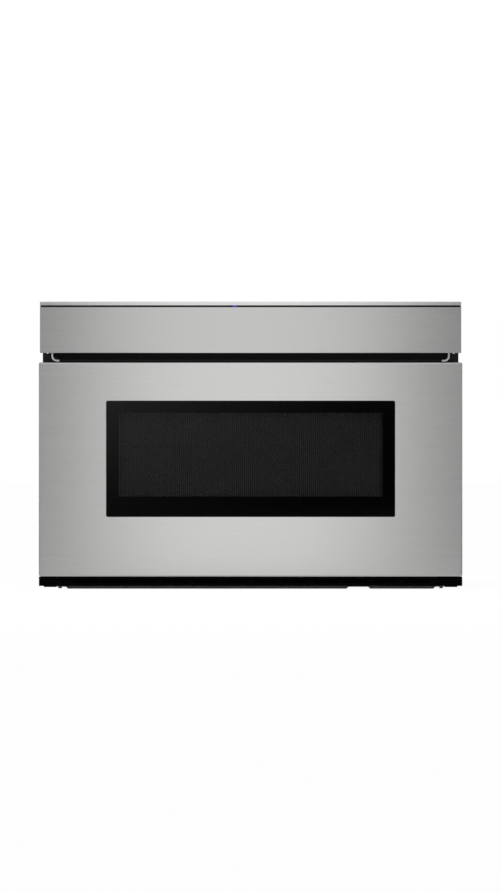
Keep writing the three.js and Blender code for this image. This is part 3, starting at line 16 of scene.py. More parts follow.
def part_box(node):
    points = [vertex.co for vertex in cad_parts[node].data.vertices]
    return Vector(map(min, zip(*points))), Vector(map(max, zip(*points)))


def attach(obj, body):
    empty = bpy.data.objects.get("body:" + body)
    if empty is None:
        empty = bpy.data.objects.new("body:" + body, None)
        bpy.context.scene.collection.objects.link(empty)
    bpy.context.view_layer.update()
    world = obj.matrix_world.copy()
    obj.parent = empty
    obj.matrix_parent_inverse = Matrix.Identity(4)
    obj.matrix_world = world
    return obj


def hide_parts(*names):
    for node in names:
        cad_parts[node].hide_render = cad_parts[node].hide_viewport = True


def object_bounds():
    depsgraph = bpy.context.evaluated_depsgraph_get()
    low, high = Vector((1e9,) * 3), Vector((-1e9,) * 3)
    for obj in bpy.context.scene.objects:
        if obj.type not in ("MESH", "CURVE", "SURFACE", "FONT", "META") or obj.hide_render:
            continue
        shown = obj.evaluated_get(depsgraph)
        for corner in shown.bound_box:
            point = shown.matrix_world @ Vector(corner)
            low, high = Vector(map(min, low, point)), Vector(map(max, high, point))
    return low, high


bl_info = {
    "name": "Microwave drawer",
    "version": (1, 0, 0),
    "blender": (4, 5, 0),
    "location": "View3D > Sidebar > Drawer",
    "description": "Finishes, small parts and studio of a built-in microwave drawer",
    "category": "Object",
}

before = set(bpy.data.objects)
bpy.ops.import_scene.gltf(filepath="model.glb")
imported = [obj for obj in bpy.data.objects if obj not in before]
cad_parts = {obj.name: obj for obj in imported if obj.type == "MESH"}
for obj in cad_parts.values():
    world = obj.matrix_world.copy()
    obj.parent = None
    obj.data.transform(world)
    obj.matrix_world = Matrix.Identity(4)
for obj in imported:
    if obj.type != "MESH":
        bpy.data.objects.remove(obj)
CAD_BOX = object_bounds()

MM = 0.001
PHOTO_WIDTH, PHOTO_HEIGHT = 500, 891  # pixels of the photograph
PHOTO_CENTRE_X = 250.6  # pixel column of the drawer's middle
PHOTO_FLOOR_Y = 589.3  # pixel row of the skids' lowest edge
FRONT_WIDTH_PX = 423.95  # width of the drawer front in pixels
SENSOR = 36.0  # mm, Blender's own
METRES_PER_PIXEL = (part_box("door_skin")[1].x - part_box("door_skin")[0].x) / FRONT_WIDTH_PX

OPEN = (None, None, None)  # a corner of a box that limits nothing
WHITE = (1.0, 1.0, 1.0, 1.0)
NOISE_RANGE = (0.3, 0.7)  # a noise seldom leaves this part of its range
WAVE_TURN = 2 * math.pi / 20  # a wave texture of scale 1 repeats after this length


# ---------------------------------------------------------------- colours, nodes and materials


def linear(code):
    """Linear RGB of an sRGB hex colour."""
    values = [int(code[i:i + 2], 16) / 255 for i in (1, 3, 5)]
    return tuple(v / 12.92 if v <= 0.04045 else ((v + 0.055) / 1.055) ** 2.4 for v in values)


def rgba(colour, share=1.0):
    """A linear colour at a share of its light, with full alpha."""
    return (*(channel * share for channel in colour[:3]), 1.0)


def add(tree, kind, inputs=None, **settings):
    """One node: settings are its properties, inputs its sockets' values or what they are linked to.

    A mix of colours has its factor on socket 0, the colours on 6 and 7, and its result on output 2. A mix
    of vectors has them on 0, 4 and 5, and on output 1.
    """
    node = tree.nodes.new(kind)
    for name, value in settings.items():
        setattr(node, name, value)
    for name, value in (inputs or {}).items():
        if isinstance(value, bpy.types.NodeSocket):
            tree.links.new(value, node.inputs[name])
        else:
            node.inputs[name].default_value = value
    return node


def surface(name, sockets):
    """A new material with one Principled shader: the material, its tree and the shader."""
    material = bpy.data.materials.new(name)
    material.use_nodes = True
    tree = material.node_tree
    shader = tree.nodes["Principled BSDF"]
    for socket, value in sockets.items():
        shader.inputs[socket].default_value = value
    return material, tree, shader


def vary(tree, shader, colour=None, roughness=None, relief=None):
    """Link the shader's colour, roughness and relief to what varies them over the surface.

    Roughness is a pattern, the value at its low end and the value at its high end, and then the pattern's
    own range where it isn't a noise. Relief is a pattern, its height in mm and its strength.
    """
    if colour is not None:
        tree.links.new(colour, shader.inputs["Base Color"])
    if roughness:
        pattern, low, high, *ends = roughness
        low_in, high_in = ends or NOISE_RANGE
        level = add(tree, "ShaderNodeMapRange", {
            "Value": pattern, "From Min": low_in, "From Max": high_in, "To Min": low, "To Max": high,
        })
        tree.links.new(level.outputs["Result"], shader.inputs["Roughness"])
    if relief:
        pattern, height, strength = relief
        raised = add(
            tree, "ShaderNodeBump", {"Height": pattern, "Distance": height * MM, "Strength": strength},
        )
        tree.links.new(raised.outputs["Normal"], shader.inputs["Normal"])


def grain(tree, spacing, stretch=(1, 1, 1), detail=3.0):
    """Noise of the given spacing in mm over the piece's own metres, longer by stretch along each axis."""
    place = add(tree, "ShaderNodeTexCoord")
    scale = [1 / (spacing * MM * along) for along in stretch]
    mapped = add(tree, "ShaderNodeMapping", {"Vector": place.outputs["Object"], "Scale": scale})
    noise = add(
        tree, "ShaderNodeTexNoise", {"Vector": mapped.outputs["Vector"], "Scale": 1.0, "Detail": detail},
    )
    return noise.outputs["Fac"]


def mottled(tree, colour, dark, light, spacing, stretch=(1, 1, 1), detail=3.0):
    """A colour that wanders between two shares of its light, by a grain of the given spacing in mm."""
    wander = grain(tree, spacing, stretch, detail)
    tone = add(
        tree, "ShaderNodeMix", {0: wander, 6: rgba(colour, dark), 7: rgba(colour, light)},
        data_type="RGBA",
    )
    return tone.outputs[2]


def crystals(tree, size, colour, dark, light, wobble=None):
    """Flat crystals of the given size in mm: their colour, and a level from 0 to 1 for each of them.

    A wobble, which is a noise, bends their edges.
    """
    place = add(tree, "ShaderNodeTexCoord").outputs["Object"]
    if wobble is not None:
        bent = add(tree, "ShaderNodeMix", {0: 0.004, 4: place, 5: wobble}, data_type="VECTOR")
        place = bent.outputs[1]
    cells = add(tree, "ShaderNodeTexVoronoi", {"Vector": place, "Scale": 1 / (size * MM)})
    level = add(tree, "ShaderNodeSeparateColor", {0: cells.outputs["Color"]}).outputs[0]
    tone = add(
        tree, "ShaderNodeMix", {0: level, 6: rgba(colour, dark), 7: rgba(colour, light)},
        data_type="RGBA",
    )
    return tone.outputs[2], level


def within(tree, boxes):
    """1 inside any of the boxes of the frame, 0 outside them all. A limit of None leaves that side open."""
    place = add(tree, "ShaderNodeTexCoord")
    split = add(tree, "ShaderNodeSeparateXYZ", {0: place.outputs["Object"]})
    in_any = None
    for low, high in boxes:
        in_box = None
        for limits, operation in ((low, "GREATER_THAN"), (high, "LESS_THAN")):
            for axis, limit in enumerate(limits):
                if limit is None:
                    continue
                test = add(
                    tree, "ShaderNodeMath", {0: split.outputs[axis], 1: limit}, operation=operation,
                ).outputs[0]
                if in_box is not None:
                    test = add(
                        tree, "ShaderNodeMath", {0: test, 1: in_box}, operation="MULTIPLY",
                    ).outputs[0]
                in_box = test
        if in_any is not None:
            in_box = add(
                tree, "ShaderNodeMath", {0: in_any, 1: in_box}, operation="MAXIMUM",
            ).outputs[0]
        in_any = in_box
    return in_any


def parted(tree, boxes, outside, inside):
    """One colour outside the boxes of the frame and another inside them, and the mask of the inside."""
    mask = within(tree, boxes)
    colour = add(tree, "ShaderNodeMix", {0: mask, 6: outside, 7: inside}, data_type="RGBA")
    return colour.outputs[2], mask


def bare_outside(tree, shader, mask):
    """Bare metal where the mask is 0, and a paint or a plastic where it is 1."""
    bare = add(tree, "ShaderNodeMath", {0: 1.0, 1: mask}, operation="SUBTRACT")
    tree.links.new(bare.outputs[0], shader.inputs["Metallic"])


def brushed_stainless(name, colour, spacing, tone, painted, paint):
    """Stainless sheet brushed along x: fine level streaks, and light that spreads up and down.

    The real brushing has about ten lines to a millimetre. A pixel of the photograph is 1.4 mm, so the
    streaks are drawn as coarse as they need to show. The tone is painted light that scales the sheet's
    colour. Inside the painted boxes the sheet has the paint's colour, which is painted shade where the
    sheet lies in a dark gap.
    """
    material, tree, shader = surface(name, {
        "Metallic": 1.0, "Anisotropic": 0.75, "Anisotropic Rotation": 0.25,
    })
    fine = grain(tree, spacing, (400, 5, 1), 4.0)
    low_in, high_in = NOISE_RANGE
    streaks = add(tree, "ShaderNodeMapRange", {"Value": fine, "From Min": low_in, "From Max": high_in})
    sheet = add(tree, "ShaderNodeMix", {
        0: streaks.outputs["Result"], 6: rgba(colour, 0.97 * tone), 7: rgba(colour, 1.03 * tone),
    }, data_type="RGBA").outputs[2]
    if painted:
        sheet, covered = parted(tree, painted, sheet, rgba(paint))
        bare_outside(tree, shader, covered)
        shader.inputs["Specular IOR Level"].default_value = 0.2
    vary(tree, shader, sheet, (fine, 0.27, 0.36), (fine, 0.02, 0.3))
    tangent = add(tree, "ShaderNodeTangent", direction_type="RADIAL", axis="Z")
    tree.links.new(tangent.outputs[0], shader.inputs["Tangent"])
    return material


def zinc_coated_steel(name, colour, spangle, roughness=0.42):
    """Hot-dip galvanised sheet: a dull grey metal with a faint spangle of flat crystals."""
    material, tree, shader = surface(name, {"Metallic": 1.0})
    tone, level = crystals(tree, spangle, colour, 0.9, 1.06, grain(tree, spangle * 0.8))
    vary(
        tree, shader, tone, (level, roughness - 0.05, roughness + 0.07, 0, 1),
        (grain(tree, 30), 0.15, 0.4),
    )
    return material


def powder_coat(name, colour, roughness):
    """Baked powder paint on sheet steel: even colour with a fine orange peel."""
    material, tree, shader = surface(name, {"IOR": 1.5})
    peel = grain(tree, 1.6, detail=2.0)
    vary(
        tree, shader, mottled(tree, colour, 0.9, 1.1, 25),
        (peel, roughness - 0.05, roughness + 0.05), (peel, 0.05, 0.4),
    )
    return material


def lacquered_steel(name, colour, metal, roughness):
    """Steel under a thin lacquer: the tone of a paint, with some of the metal's reflection left in it."""
    material, tree, shader = surface(name, {"IOR": 1.5, "Metallic": metal})
    vary(
        tree, shader, mottled(tree, colour, 0.95, 1.05, 25),
        (grain(tree, 1.6), roughness - 0.03, roughness + 0.03),
    )
    return material


def moulded_plastic(name, colour, roughness, texture=0.9, ior=1.5, specular=0.5):
    """An injection-moulded polymer: spark-eroded grain and slight flow marks."""
    material, tree, shader = surface(name, {"IOR": ior, "Specular IOR Level": specular})
    skin = grain(tree, texture)
    vary(
        tree, shader, mottled(tree, colour, 0.9, 1.1, 40, (3, 1, 1), 1.0),
        (skin, roughness - 0.06, roughness + 0.06), (skin, 0.03, 0.5),
    )
    return material


def float_glass(name, colour, roughness=0.03):
    """Float glass printed black on its back: a deep, even black under a clean gloss."""
    material, tree, shader = surface(
        name, {"IOR": 1.52, "Base Color": rgba(colour), "Specular IOR Level": 0.2},
    )
    wipe = grain(tree, 60, (2, 1, 1), 4.0)
    vary(tree, shader, roughness=(wipe, roughness, roughness + 0.03))
    return material


def window_glass(name, print_colour, pane_colour, low, high, clear_alpha):
    """Tinted door glass: a black printed border round a clear pane, through which the screen shows."""
    material, tree, shader = surface(name, {"IOR": 1.52, "Roughness": 0.03})
    pane = ((low.x, None, low.z), (high.x, None, high.z))
    colour, clear = parted(tree, [pane], rgba(print_colour), rgba(pane_colour))
    vary(tree, shader, colour)
    see = add(tree, "ShaderNodeMapRange", {"Value": clear, "To Min": 1.0, "To Max": clear_alpha})
    tree.links.new(see.outputs["Result"], shader.inputs["Alpha"])
    return material


def clear_pane(name, colour, alpha):
    """Tempered clear glass, seen mostly by its gloss."""
    material, tree, shader = surface(name, {"IOR": 1.52, "Base Color": rgba(colour), "Alpha": alpha})
    vary(tree, shader, roughness=(grain(tree, 60), 0.02, 0.05))
    return material


def baked_enamel(name, colour, speck_colour):
    """Vitreous enamel on steel: a pale grey glaze with fine dark specks."""
    material, tree, shader = surface(name, {"IOR": 1.5, "Coat Weight": 0.4, "Coat Roughness": 0.12})
    place = add(tree, "ShaderNodeTexCoord")
    dots = add(
        tree, "ShaderNodeTexVoronoi", {"Vector": place.outputs["Object"], "Scale": 1 / (3.5 * MM)},
    )
    speck = add(tree, "ShaderNodeMath", {0: dots.outputs["Distance"], 1: 0.13}, operation="LESS_THAN")
    glaze = add(
        tree, "ShaderNodeMix", {0: speck.outputs[0], 6: rgba(colour), 7: rgba(speck_colour)},
        data_type="RGBA",
    )
    vary(tree, shader, glaze.outputs[2], (grain(tree, 18), 0.28, 0.42), (grain(tree, 9), 0.04, 0.4))
    return material


def mica_sheet(name, colour):
    """Pressed mica: buff flakes laid flat, with a dull sheen."""
    material, tree, shader = surface(name, {"IOR": 1.58})
    tone, level = crystals(tree, 7, colour, 0.8, 1.12)
    vary(tree, shader, tone, (level, 0.45, 0.7, 0, 1))
    return material


def glass_ceramic(name, colour):
    """White glass-ceramic: smooth and slightly milky."""
    material, tree, shader = surface(name, {
        "IOR": 1.53, "Subsurface Weight": 0.1, "Subsurface Radius": (2 * MM, 2 * MM, 2 * MM),
    })
    vary(tree, shader, mottled(tree, colour, 0.96, 1.02, 45), (grain(tree, 20), 0.16, 0.24))
    return material


def rolled_aluminium(name, colour):
    """Mill-finish aluminium sheet: faint rolling lines along y."""
    material, tree, shader = surface(name, {"Metallic": 1.0})
    lines = (0.8, (1, 120, 1))
    vary(tree, shader, mottled(tree, colour, 0.9, 1.05, *lines), (grain(tree, *lines), 0.28, 0.4))
    return material


def wound_core(name, core_colour, winding_colour, core_boxes):
    """A varnished stack of steel laminations, with lacquered copper winding outside the given boxes.

    The real laminations are half a millimetre thick, and are drawn about four times as thick to show.
    """
    material, tree, shader = surface(name, {})
    place = add(tree, "ShaderNodeTexCoord")
    layers = add(tree, "ShaderNodeTexWave", {
        "Vector": place.outputs["Object"], "Scale": WAVE_TURN / (1.885 * MM), "Distortion": 0.4,
    }, bands_direction="Y")
    core = add(tree, "ShaderNodeMix", {
        0: layers.outputs["Fac"], 6: rgba(core_colour, 0.75), 7: rgba(core_colour, 1.25),
    }, data_type="RGBA")
    wire = mottled(tree, winding_colour, 0.7, 1.0, 1.2, (1, 1, 0.5))
    colour, _ = parted(tree, core_boxes, wire, core.outputs[2])
    vary(tree, shader, colour, (grain(tree, 8), 0.4, 0.6))
    return material


def geared_motor(name, housing_colour, can_colour, housing_box):
    """A small motor: a rolled steel can, bare metal, behind a moulded gear housing in the given box."""
    material, tree, shader = surface(name, {"IOR": 1.5})
    housing = mottled(tree, housing_colour, 0.85, 1.1, 1.2)
    can = mottled(tree, can_colour, 0.92, 1.05, 0.8, (1, 60, 1))
    colour, moulded = parted(tree, [housing_box], can, housing)
    bare_outside(tree, shader, moulded)
    vary(tree, shader, colour, (grain(tree, 1.2), 0.34, 0.5))
    return material


def populated_board(name, mask_colour, parts_colour, parts_box):
    """A circuit board: green solder mask, and dark moulded parts inside the given box."""
    material, tree, shader = surface(name, {"IOR": 1.5})
    place = add(tree, "ShaderNodeTexCoord")
    tracks = add(tree, "ShaderNodeTexBrick", {
        "Vector": place.outputs["Object"], "Scale": 1 / (9 * MM), "Mortar Size": 0.04,
        "Color1": rgba(mask_colour, 0.9), "Color2": rgba(mask_colour), "Mortar": rgba(mask_colour, 1.6),
    })
    parts = mottled(tree, parts_colour, 0.7, 1.4, 14)
    colour, _ = parted(tree, [parts_box], tracks.outputs["Color"], parts)
    vary(tree, shader, colour, (grain(tree, 6), 0.3, 0.5))
    return material


def lit_lens(name, colour, strength):
    """Clear tinted polycarbonate over a small diode: a glow that is a little uneven."""
    material, tree, shader = surface(name, {
        "IOR": 1.58, "Base Color": rgba(colour), "Roughness": 0.2, "Emission Color": rgba(colour),
    })
    low_in, high_in = NOISE_RANGE
    glow = add(tree, "ShaderNodeMapRange", {
        "Value": grain(tree, 4), "From Min": low_in, "From Max": high_in,
        "To Min": 0.85 * strength, "To Max": 1.15 * strength,
    })
    tree.links.new(glow.outputs["Result"], shader.inputs["Emission Strength"])
    return material


def give(names, material):
    """Put one material on CAD nodes."""
    for name in names:
        piece = bpy.data.objects[name]
        piece.data.materials.clear()
        piece.data.materials.append(material)


# ---------------------------------------------------------------- meshes and names


def new_piece(name, mesh_tool, material, body):
    """An object from a bmesh that rides on a body."""
    mesh = bpy.data.meshes.new(name)
    mesh_tool.to_mesh(mesh)
    mesh_tool.free()
    piece = bpy.data.objects.new(name, mesh)
    bpy.context.scene.collection.objects.link(piece)
    mesh.materials.append(material)
    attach(piece, body)
    return piece


def both_sides(*words):
    """The names of the left and the right one of each pair."""
    return [f"{word}_{side}" for word in words for side in ("left", "right")]


# ---------------------------------------------------------------- settings


def colour_setting(name, description, code):
    """A colour setting, with an sRGB hex colour as its default."""
    return FloatVectorProperty(
        name=name, description=description, default=linear(code), subtype="COLOR", size=3, min=0, max=1,
    )


def length_setting(name, description, default, low, high):
    """A length setting, with its default and limits in metres."""
    return FloatProperty(
        name=name, description=description, default=default, min=low, max=high, unit="LENGTH",
    )


class FrontSettings(bpy.types.PropertyGroup):
    """Stainless front, black trim and base plate."""

    stainless: colour_setting("Stainless", "Colour of the brushed stainless sheet", "#CDCDCC")
    brushing: FloatProperty(
        name="Brushing", description="Spacing of the drawn brush lines in millimetres",
        default=0.55, min=0.1, max=5,
    )
    plastic: colour_setting("Black plastic", "Colour of vent strip, end caps and pod housing", "#020203")
    # The flange's colour is also the colour of the painted shade on the stainless sheets.
    flange: colour_setting("Flange paint", "Colour of the flange and of painted sheet", "#161617")
    # The base paint is lighter than the real one: painted light for the shade under the drawer front.
    base: colour_setting("Base paint", "Colour of the base plate and its skids", "#A2A3A6")


class WindowSettings(bpy.types.PropertyGroup):
    """Door glass and the perforated screen behind it."""

    print_colour: colour_setting("Border print", "Colour of the black print round the pane", "#000000")
    pane_colour: colour_setting("Pane tint", "Colour of the tinted pane", "#050506")
    pane_alpha: FloatProperty(
        name="Pane density", description="How much the tinted pane hides of the screen",
        default=0.52, min=0, max=1, subtype="FACTOR",
    )
    inner_pane: colour_setting("Inner pane", "Colour of the clear pane behind the screen", "#2A302F")
    # The screen's pale colour is painted light: it makes up for light that the tinted pane holds back.
    screen: colour_setting("Screen lacquer", "Colour of the lacquered perforated screen", "#B5B5B8")
    column: length_setting(
        "Column step", "Distance between the columns of the screen's holes", 2.91 * MM, 1 * MM, 10 * MM,
    )
    pitch: length_setting("Hole pitch", "Distance between the holes of a column", 3.1 * MM, 1 * MM, 10 * MM)
    hole: length_setting("Hole diameter", "Diameter of the screen's holes", 2.5 * MM, 0.5 * MM, 9 * MM)


class CaseSettings(bpy.types.PropertyGroup):
    """Zinc-coated case, its screws and the gland."""

    zinc: colour_setting("Zinc coat", "Colour of the galvanised sheet", "#A9ACAE")
    spangle: FloatProperty(
        name="Spangle", description="Size of the zinc crystals in millimetres", default=9, min=1, max=50,
    )
    screw: colour_setting("Screws", "Colour of the plated screws", "#B9BCBE")
    screw_head: length_setting("Screw head", "Diameter of the pan heads", 8 * MM, 3 * MM, 20 * MM)
    gland: colour_setting("Gland", "Colour of the cord gland", "#141415")


class OvenSettings(bpy.types.PropertyGroup):
    """Cavity, basket and tray."""

    enamel: colour_setting("Enamel", "Colour of the cavity's enamel", "#B4B3AE")
    speck: colour_setting("Specks", "Colour of the enamel's specks", "#55544F")
    ceramic: colour_setting("Tray", "Colour of the glass-ceramic tray", "#E6E4DD")
    mica: colour_setting("Mica", "Colour of the stirrer cover", "#C9BFA6")


class MechanismSettings(bpy.types.PropertyGroup):
    """Rails, drive, latches and electrical parts."""

    zinc: colour_setting("Rail zinc", "Colour of the plated rails", "#B2B5B7")
    pivot: colour_setting("Pivots", "Colour of the blackened pivot pins", "#18181A")
    acetal: colour_setting("Acetal", "Colour of racks, pinions and latches", "#DEDBD1")
    gear_housing: colour_setting("Gear housing", "Colour of the drive motor's moulded housing", "#1B1C1D")
    motor_can: colour_setting("Motor can", "Colour of the drive motor's steel can", "#A7AAAC")
    aluminium: colour_setting("Aluminium", "Colour of the waveguide and magnetron", "#C6C8CA")
    polypropylene: colour_setting("Polypropylene", "Colour of the fan and the air duct", "#171718")
    lamination: colour_setting("Laminations", "Colour of the varnished steel cores", "#45413D")
    winding: colour_setting("Windings", "Colour of the lacquered copper wire", "#7D3E24")
    board: colour_setting("Boards", "Colour of the solder mask", "#1F5C3B")
    board_parts: colour_setting("Board parts", "Colour of the parts on the power board", "#26282B")
    filter_parts: colour_setting("Filter parts", "Colour of the parts on the noise filter", "#6B5A22")


class ControlSettings(bpy.types.PropertyGroup):
    """Touch glass, printed keys, display and status light."""

    glass: colour_setting("Touch glass", "Colour of the touch glass and its fillers", "#040405")
    ink: colour_setting("Key print", "Colour of the printed keys", "#B9BCBE")
    display: colour_setting("Display", "Colour of the display's filter", "#101A1C")
    digits: colour_setting("Digits", "Colour of the display's figures", "#BFD8E6")
    light: colour_setting("Status light", "Colour of the small light", "#2F46D8")
    light_strength: FloatProperty(
        name="Light strength", description="Strength of the small light", default=0.28, min=0, max=10,
    )
    key_height: length_setting("Key height", "Height of the printed figures", 9 * MM, 3 * MM, 20 * MM)
    key_step: length_setting("Key step", "Distance between printed keys", 24 * MM, 8 * MM, 50 * MM)


class StageSettings(bpy.types.PropertyGroup):
    """Camera, floor and light."""

    lens: FloatProperty(
        name="Lens", description="Focal length; a long lens, as the photograph has no visible perspective",
        unit="CAMERA", default=400, min=50, max=1000,
    )
    floor: colour_setting("Floor", "Colour of the floor", "#F2F2F2")
    fill: FloatProperty(
        name="Fill", description="Strength of the world's even light", default=0.62, min=0, max=2,
    )
    key: FloatProperty(
        name="Key", description="Power of the large lamp over the front", unit="POWER",
        default=34, min=0, max=500,
    )
    card_gap: length_setting("Card gap", "Distance of the side cards from the middle", 0.265, 0.1, 2)
    card_distance: length_setting("Card distance", "Distance of the side cards from the front", 1.4, 0.3, 5)
    card_shift: length_setting("Card shift", "How far the cards stand right of the middle", -0.011, -1, 1)
    floor_card_gap: length_setting("Floor gap", "Distance of the floor cards from the middle", 0.09, 0, 1)
    floor_fade: length_setting("Floor fade", "Width over which the floor cards fade to black", 0.7, 0.1, 3)


SETTINGS = {
    "drawer_front": FrontSettings,
    "drawer_window": WindowSettings,
    "drawer_case": CaseSettings,
    "drawer_oven": OvenSettings,
    "drawer_mechanism": MechanismSettings,
    "drawer_controls": ControlSettings,
    "drawer_stage": StageSettings,
}


# ---------------------------------------------------------------- the front


TRIM_WALL = 1.5 * MM  # outer skin of the trim that stays bare; inside it the trim has painted shade that keeps the gap dark
CRADLE_ENDS = 11 * MM  # bare width at each end of the cradle, a bright edge in the gap; the middle is painted shade
CRADLE_LIP = 4 * MM  # how far the cradle is bare above the fascia's lower edge; above it is painted shade
FASCIA_SHADE_BAND = 0.45 * MM  # height of the painted shade along the fascia's top edge, which darkens the line under the trim


class DRAWER_OT_front(bpy.types.Operator):
    """Brushed stainless sheets, painted flange and base plate, black mouldings"""

    bl_idname = "drawer.dress_front"
    bl_label = "Dress the front"

    def execute(self, context):
        looks = context.scene.drawer_front
        trim_low, trim_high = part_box("top_trim")
        fascia_low, fascia_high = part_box("pod_fascia")
        bare_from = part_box("pod_cradle")[1].x - CRADLE_ENDS
        # Boxes of painted shade: the trim's inside, the cradle's middle and top, the fascia's top edge.
        shaded_trim_inside = ((None, trim_low.y + TRIM_WALL, None), (None, None, trim_high.z - TRIM_WALL))
        shaded_cradle_middle = ((-bare_from, None, None), (bare_from, None, None))
        shaded_cradle_top = ((None, None, fascia_low.z + CRADLE_LIP), OPEN)
        fascia_shade_band = ((None, None, fascia_high.z - FASCIA_SHADE_BAND), OPEN)
        # Each sheet's tone is painted light, which makes up for how much of the studio it catches.
        for node, tone, painted in (
            ("door_skin", 1.105, []),
            ("pod_fascia", 1.0, [fascia_shade_band]),
            ("top_trim", 1.3, [shaded_trim_inside]),
            ("pod_cradle", 1.5, [shaded_cradle_middle, shaded_cradle_top]),
        ):
            steel = brushed_stainless(
                f"stainless_brushed_{node}", looks.stainless, looks.brushing, tone, painted, looks.flange,
            )
            give([node], steel)
        give(["front_flange"], powder_coat("powder_coat_black", looks.flange, 0.5))
        # The base plate's light grey is painted light, which makes up for the shade under the drawer front.
        give(["base_plate"], powder_coat("powder_coat_grey", looks.base, 0.55))
        matt = moulded_plastic("abs_black_matt", looks.plastic, 0.6, specular=0.03)
        give(["vent_grille", *both_sides("end_cap")], matt)
        moulded = moulded_plastic("abs_black_moulded", looks.plastic, 0.5, specular=0.2)
        give(["pod_housing", "choke_cover"], moulded)
        return {"FINISHED"}


# ---------------------------------------------------------------- the window


BORDER_OVERLAP = 1.7 * MM  # how far the border's print covers the edge of the screen
SCREEN_METAL, SCREEN_ROUGHNESS = 0.4, 0.3
INNER_PANE_ALPHA = 0.25
WELD = 0.02 * MM  # corners of the screen's cells that are nearer than this are one


def hexagon_ring(centre_x, centre_z, radius_x, radius_z):
    """Six points round a hole of a screen that lies in the plane of x and z."""
    return [
        (centre_x + radius_x * math.cos(math.radians(60 * i)),
         centre_z + radius_z * math.sin(math.radians(60 * i)))
        for i in range(6)
    ]


def perforated_sheet(low, high, column, pitch, hole):
    """A sheet between two corners of a box, with staggered holes in upright columns."""
    columns = math.ceil((high.x - low.x) / column / 2) + 1
    rows = math.ceil((high.z - low.z) / pitch / 2) + 1
    middle = (low + high) / 2
    tool = bmesh.new()
    for i in range(-columns, columns + 1):
        for j in range(-rows, rows + 1):
            x = middle.x + i * column
            z = middle.z + (j + (i % 2) / 2) * pitch
            rings = []
            for radii in ((column * 2 / 3, pitch / math.sqrt(3)), (hole / 2, hole / 2)):
                outline = hexagon_ring(x, z, *radii)
                rings += [[tool.verts.new((u, y, v)) for u, v in outline] for y in (low.y, high.y)]
            outer_front, outer_back, inner_front, inner_back = rings
            for k in range(6):
                n = (k + 1) % 6
                tool.faces.new((outer_front[k], outer_front[n], inner_front[n], inner_front[k]))
                tool.faces.new((inner_front[k], inner_front[n], inner_back[n], inner_back[k]))
                tool.faces.new((inner_back[k], inner_back[n], outer_back[n], outer_back[k]))
    bmesh.ops.remove_doubles(tool, verts=tool.verts, dist=WELD)
    for corner, way in ((low, -1), (high, 1)):
        for normal in ((way, 0, 0), (0, 0, way)):
            geometry = [*tool.verts, *tool.edges, *tool.faces]
            bmesh.ops.bisect_plane(
                tool, geom=geometry, plane_co=corner, plane_no=normal, clear_outer=True, dist=1e-6,
            )
    edges = [edge for edge in tool.edges if edge.is_boundary]
    bmesh.ops.holes_fill(tool, edges=edges, sides=0)
    return tool


class DRAWER_OT_window(bpy.types.Operator):
    """Door glass with its printed border, perforated screen, clear inner glass"""

    bl_idname = "drawer.make_window"
    bl_label = "Make the window"

    def execute(self, context):
        looks = context.scene.drawer_window
        low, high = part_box("door_screen")
        # The screen's pale colour is painted light, making up for light that the tinted pane holds back.
        lacquer = lacquered_steel("steel_lacquered", looks.screen, SCREEN_METAL, SCREEN_ROUGHNESS)
        sheet = perforated_sheet(low, high, looks.column, looks.pitch, looks.hole)
        screen = new_piece("perforated_screen", sheet, lacquer, "drawer")
        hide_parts("door_screen")
        inset = Vector((BORDER_OVERLAP, 0, BORDER_OVERLAP))
        tinted = window_glass(
            "float_glass_tinted", looks.print_colour, looks.pane_colour, low + inset, high - inset,
            looks.pane_alpha,
        )
        give(["door_glass"], tinted)
        clear = clear_pane("float_glass_clear", looks.inner_pane, INNER_PANE_ALPHA)
        give(["inner_glass"], clear)
        return {"FINISHED"}


# ---------------------------------------------------------------- the case


FRONT_SCREW_INSET, REAR_SCREW_INSET = 8 * MM, 7 * MM  # screws of the case from its front and rear edge
PANEL_SCREW_INSET = 9 * MM  # rear screws from the case's top and bottom
CORNER_SCREW_INSET = 60 * MM  # top and rear screws from the case's sides
SCREW_LEVELS = (0.12, 0.5, 0.88)  # shares of the case's height
HEAD_HEIGHT, HEAD_RECESS = 0.3, 0.6  # shares of a screw head's diameter and of its height
DRIVE_TURN = 0.7  # radians from one screw's recess to the next, as no two stop alike


def pan_head(radius, height, recess):
    """A pan head seen along z: a low dome with a cross recess, its flat side at z = 0.

    The dome's rim is half as high as its middle.
    """
    tool = bmesh.new()
    rings, sides = 10, 48
    arm, reach, floor = radius * 0.13, radius * 0.55, height * (1 - recess)
    loops = []
    for ring in range(rings + 1):
        share = ring / rings
        loop = []
        for i in range(sides):
            angle = 2 * math.pi * i / sides
            x, y = radius * share * math.cos(angle), radius * share * math.sin(angle)
            dome = height * math.sqrt(1 - 0.75 * share**3)
            in_cross = min(abs(x), abs(y)) < arm and max(abs(x), abs(y)) < reach
            loop.append(tool.verts.new((x, y, floor if in_cross else dome)))
        loops.append(loop)
    foot = [tool.verts.new((vert.co.x, vert.co.y, 0)) for vert in loops[-1]]
    loops.append(foot)
    for inner, outer in zip(loops[1:], loops[2:]):
        for i in range(sides):
            n = (i + 1) % sides
            tool.faces.new((inner[i], outer[i], outer[n], inner[n]))
    tool.faces.new(loops[1])
    tool.faces.new(list(reversed(foot)))
    bmesh.ops.delete(tool, geom=loops[0], context="VERTS")
    bmesh.ops.recalc_face_normals(tool, faces=tool.faces)
    return tool


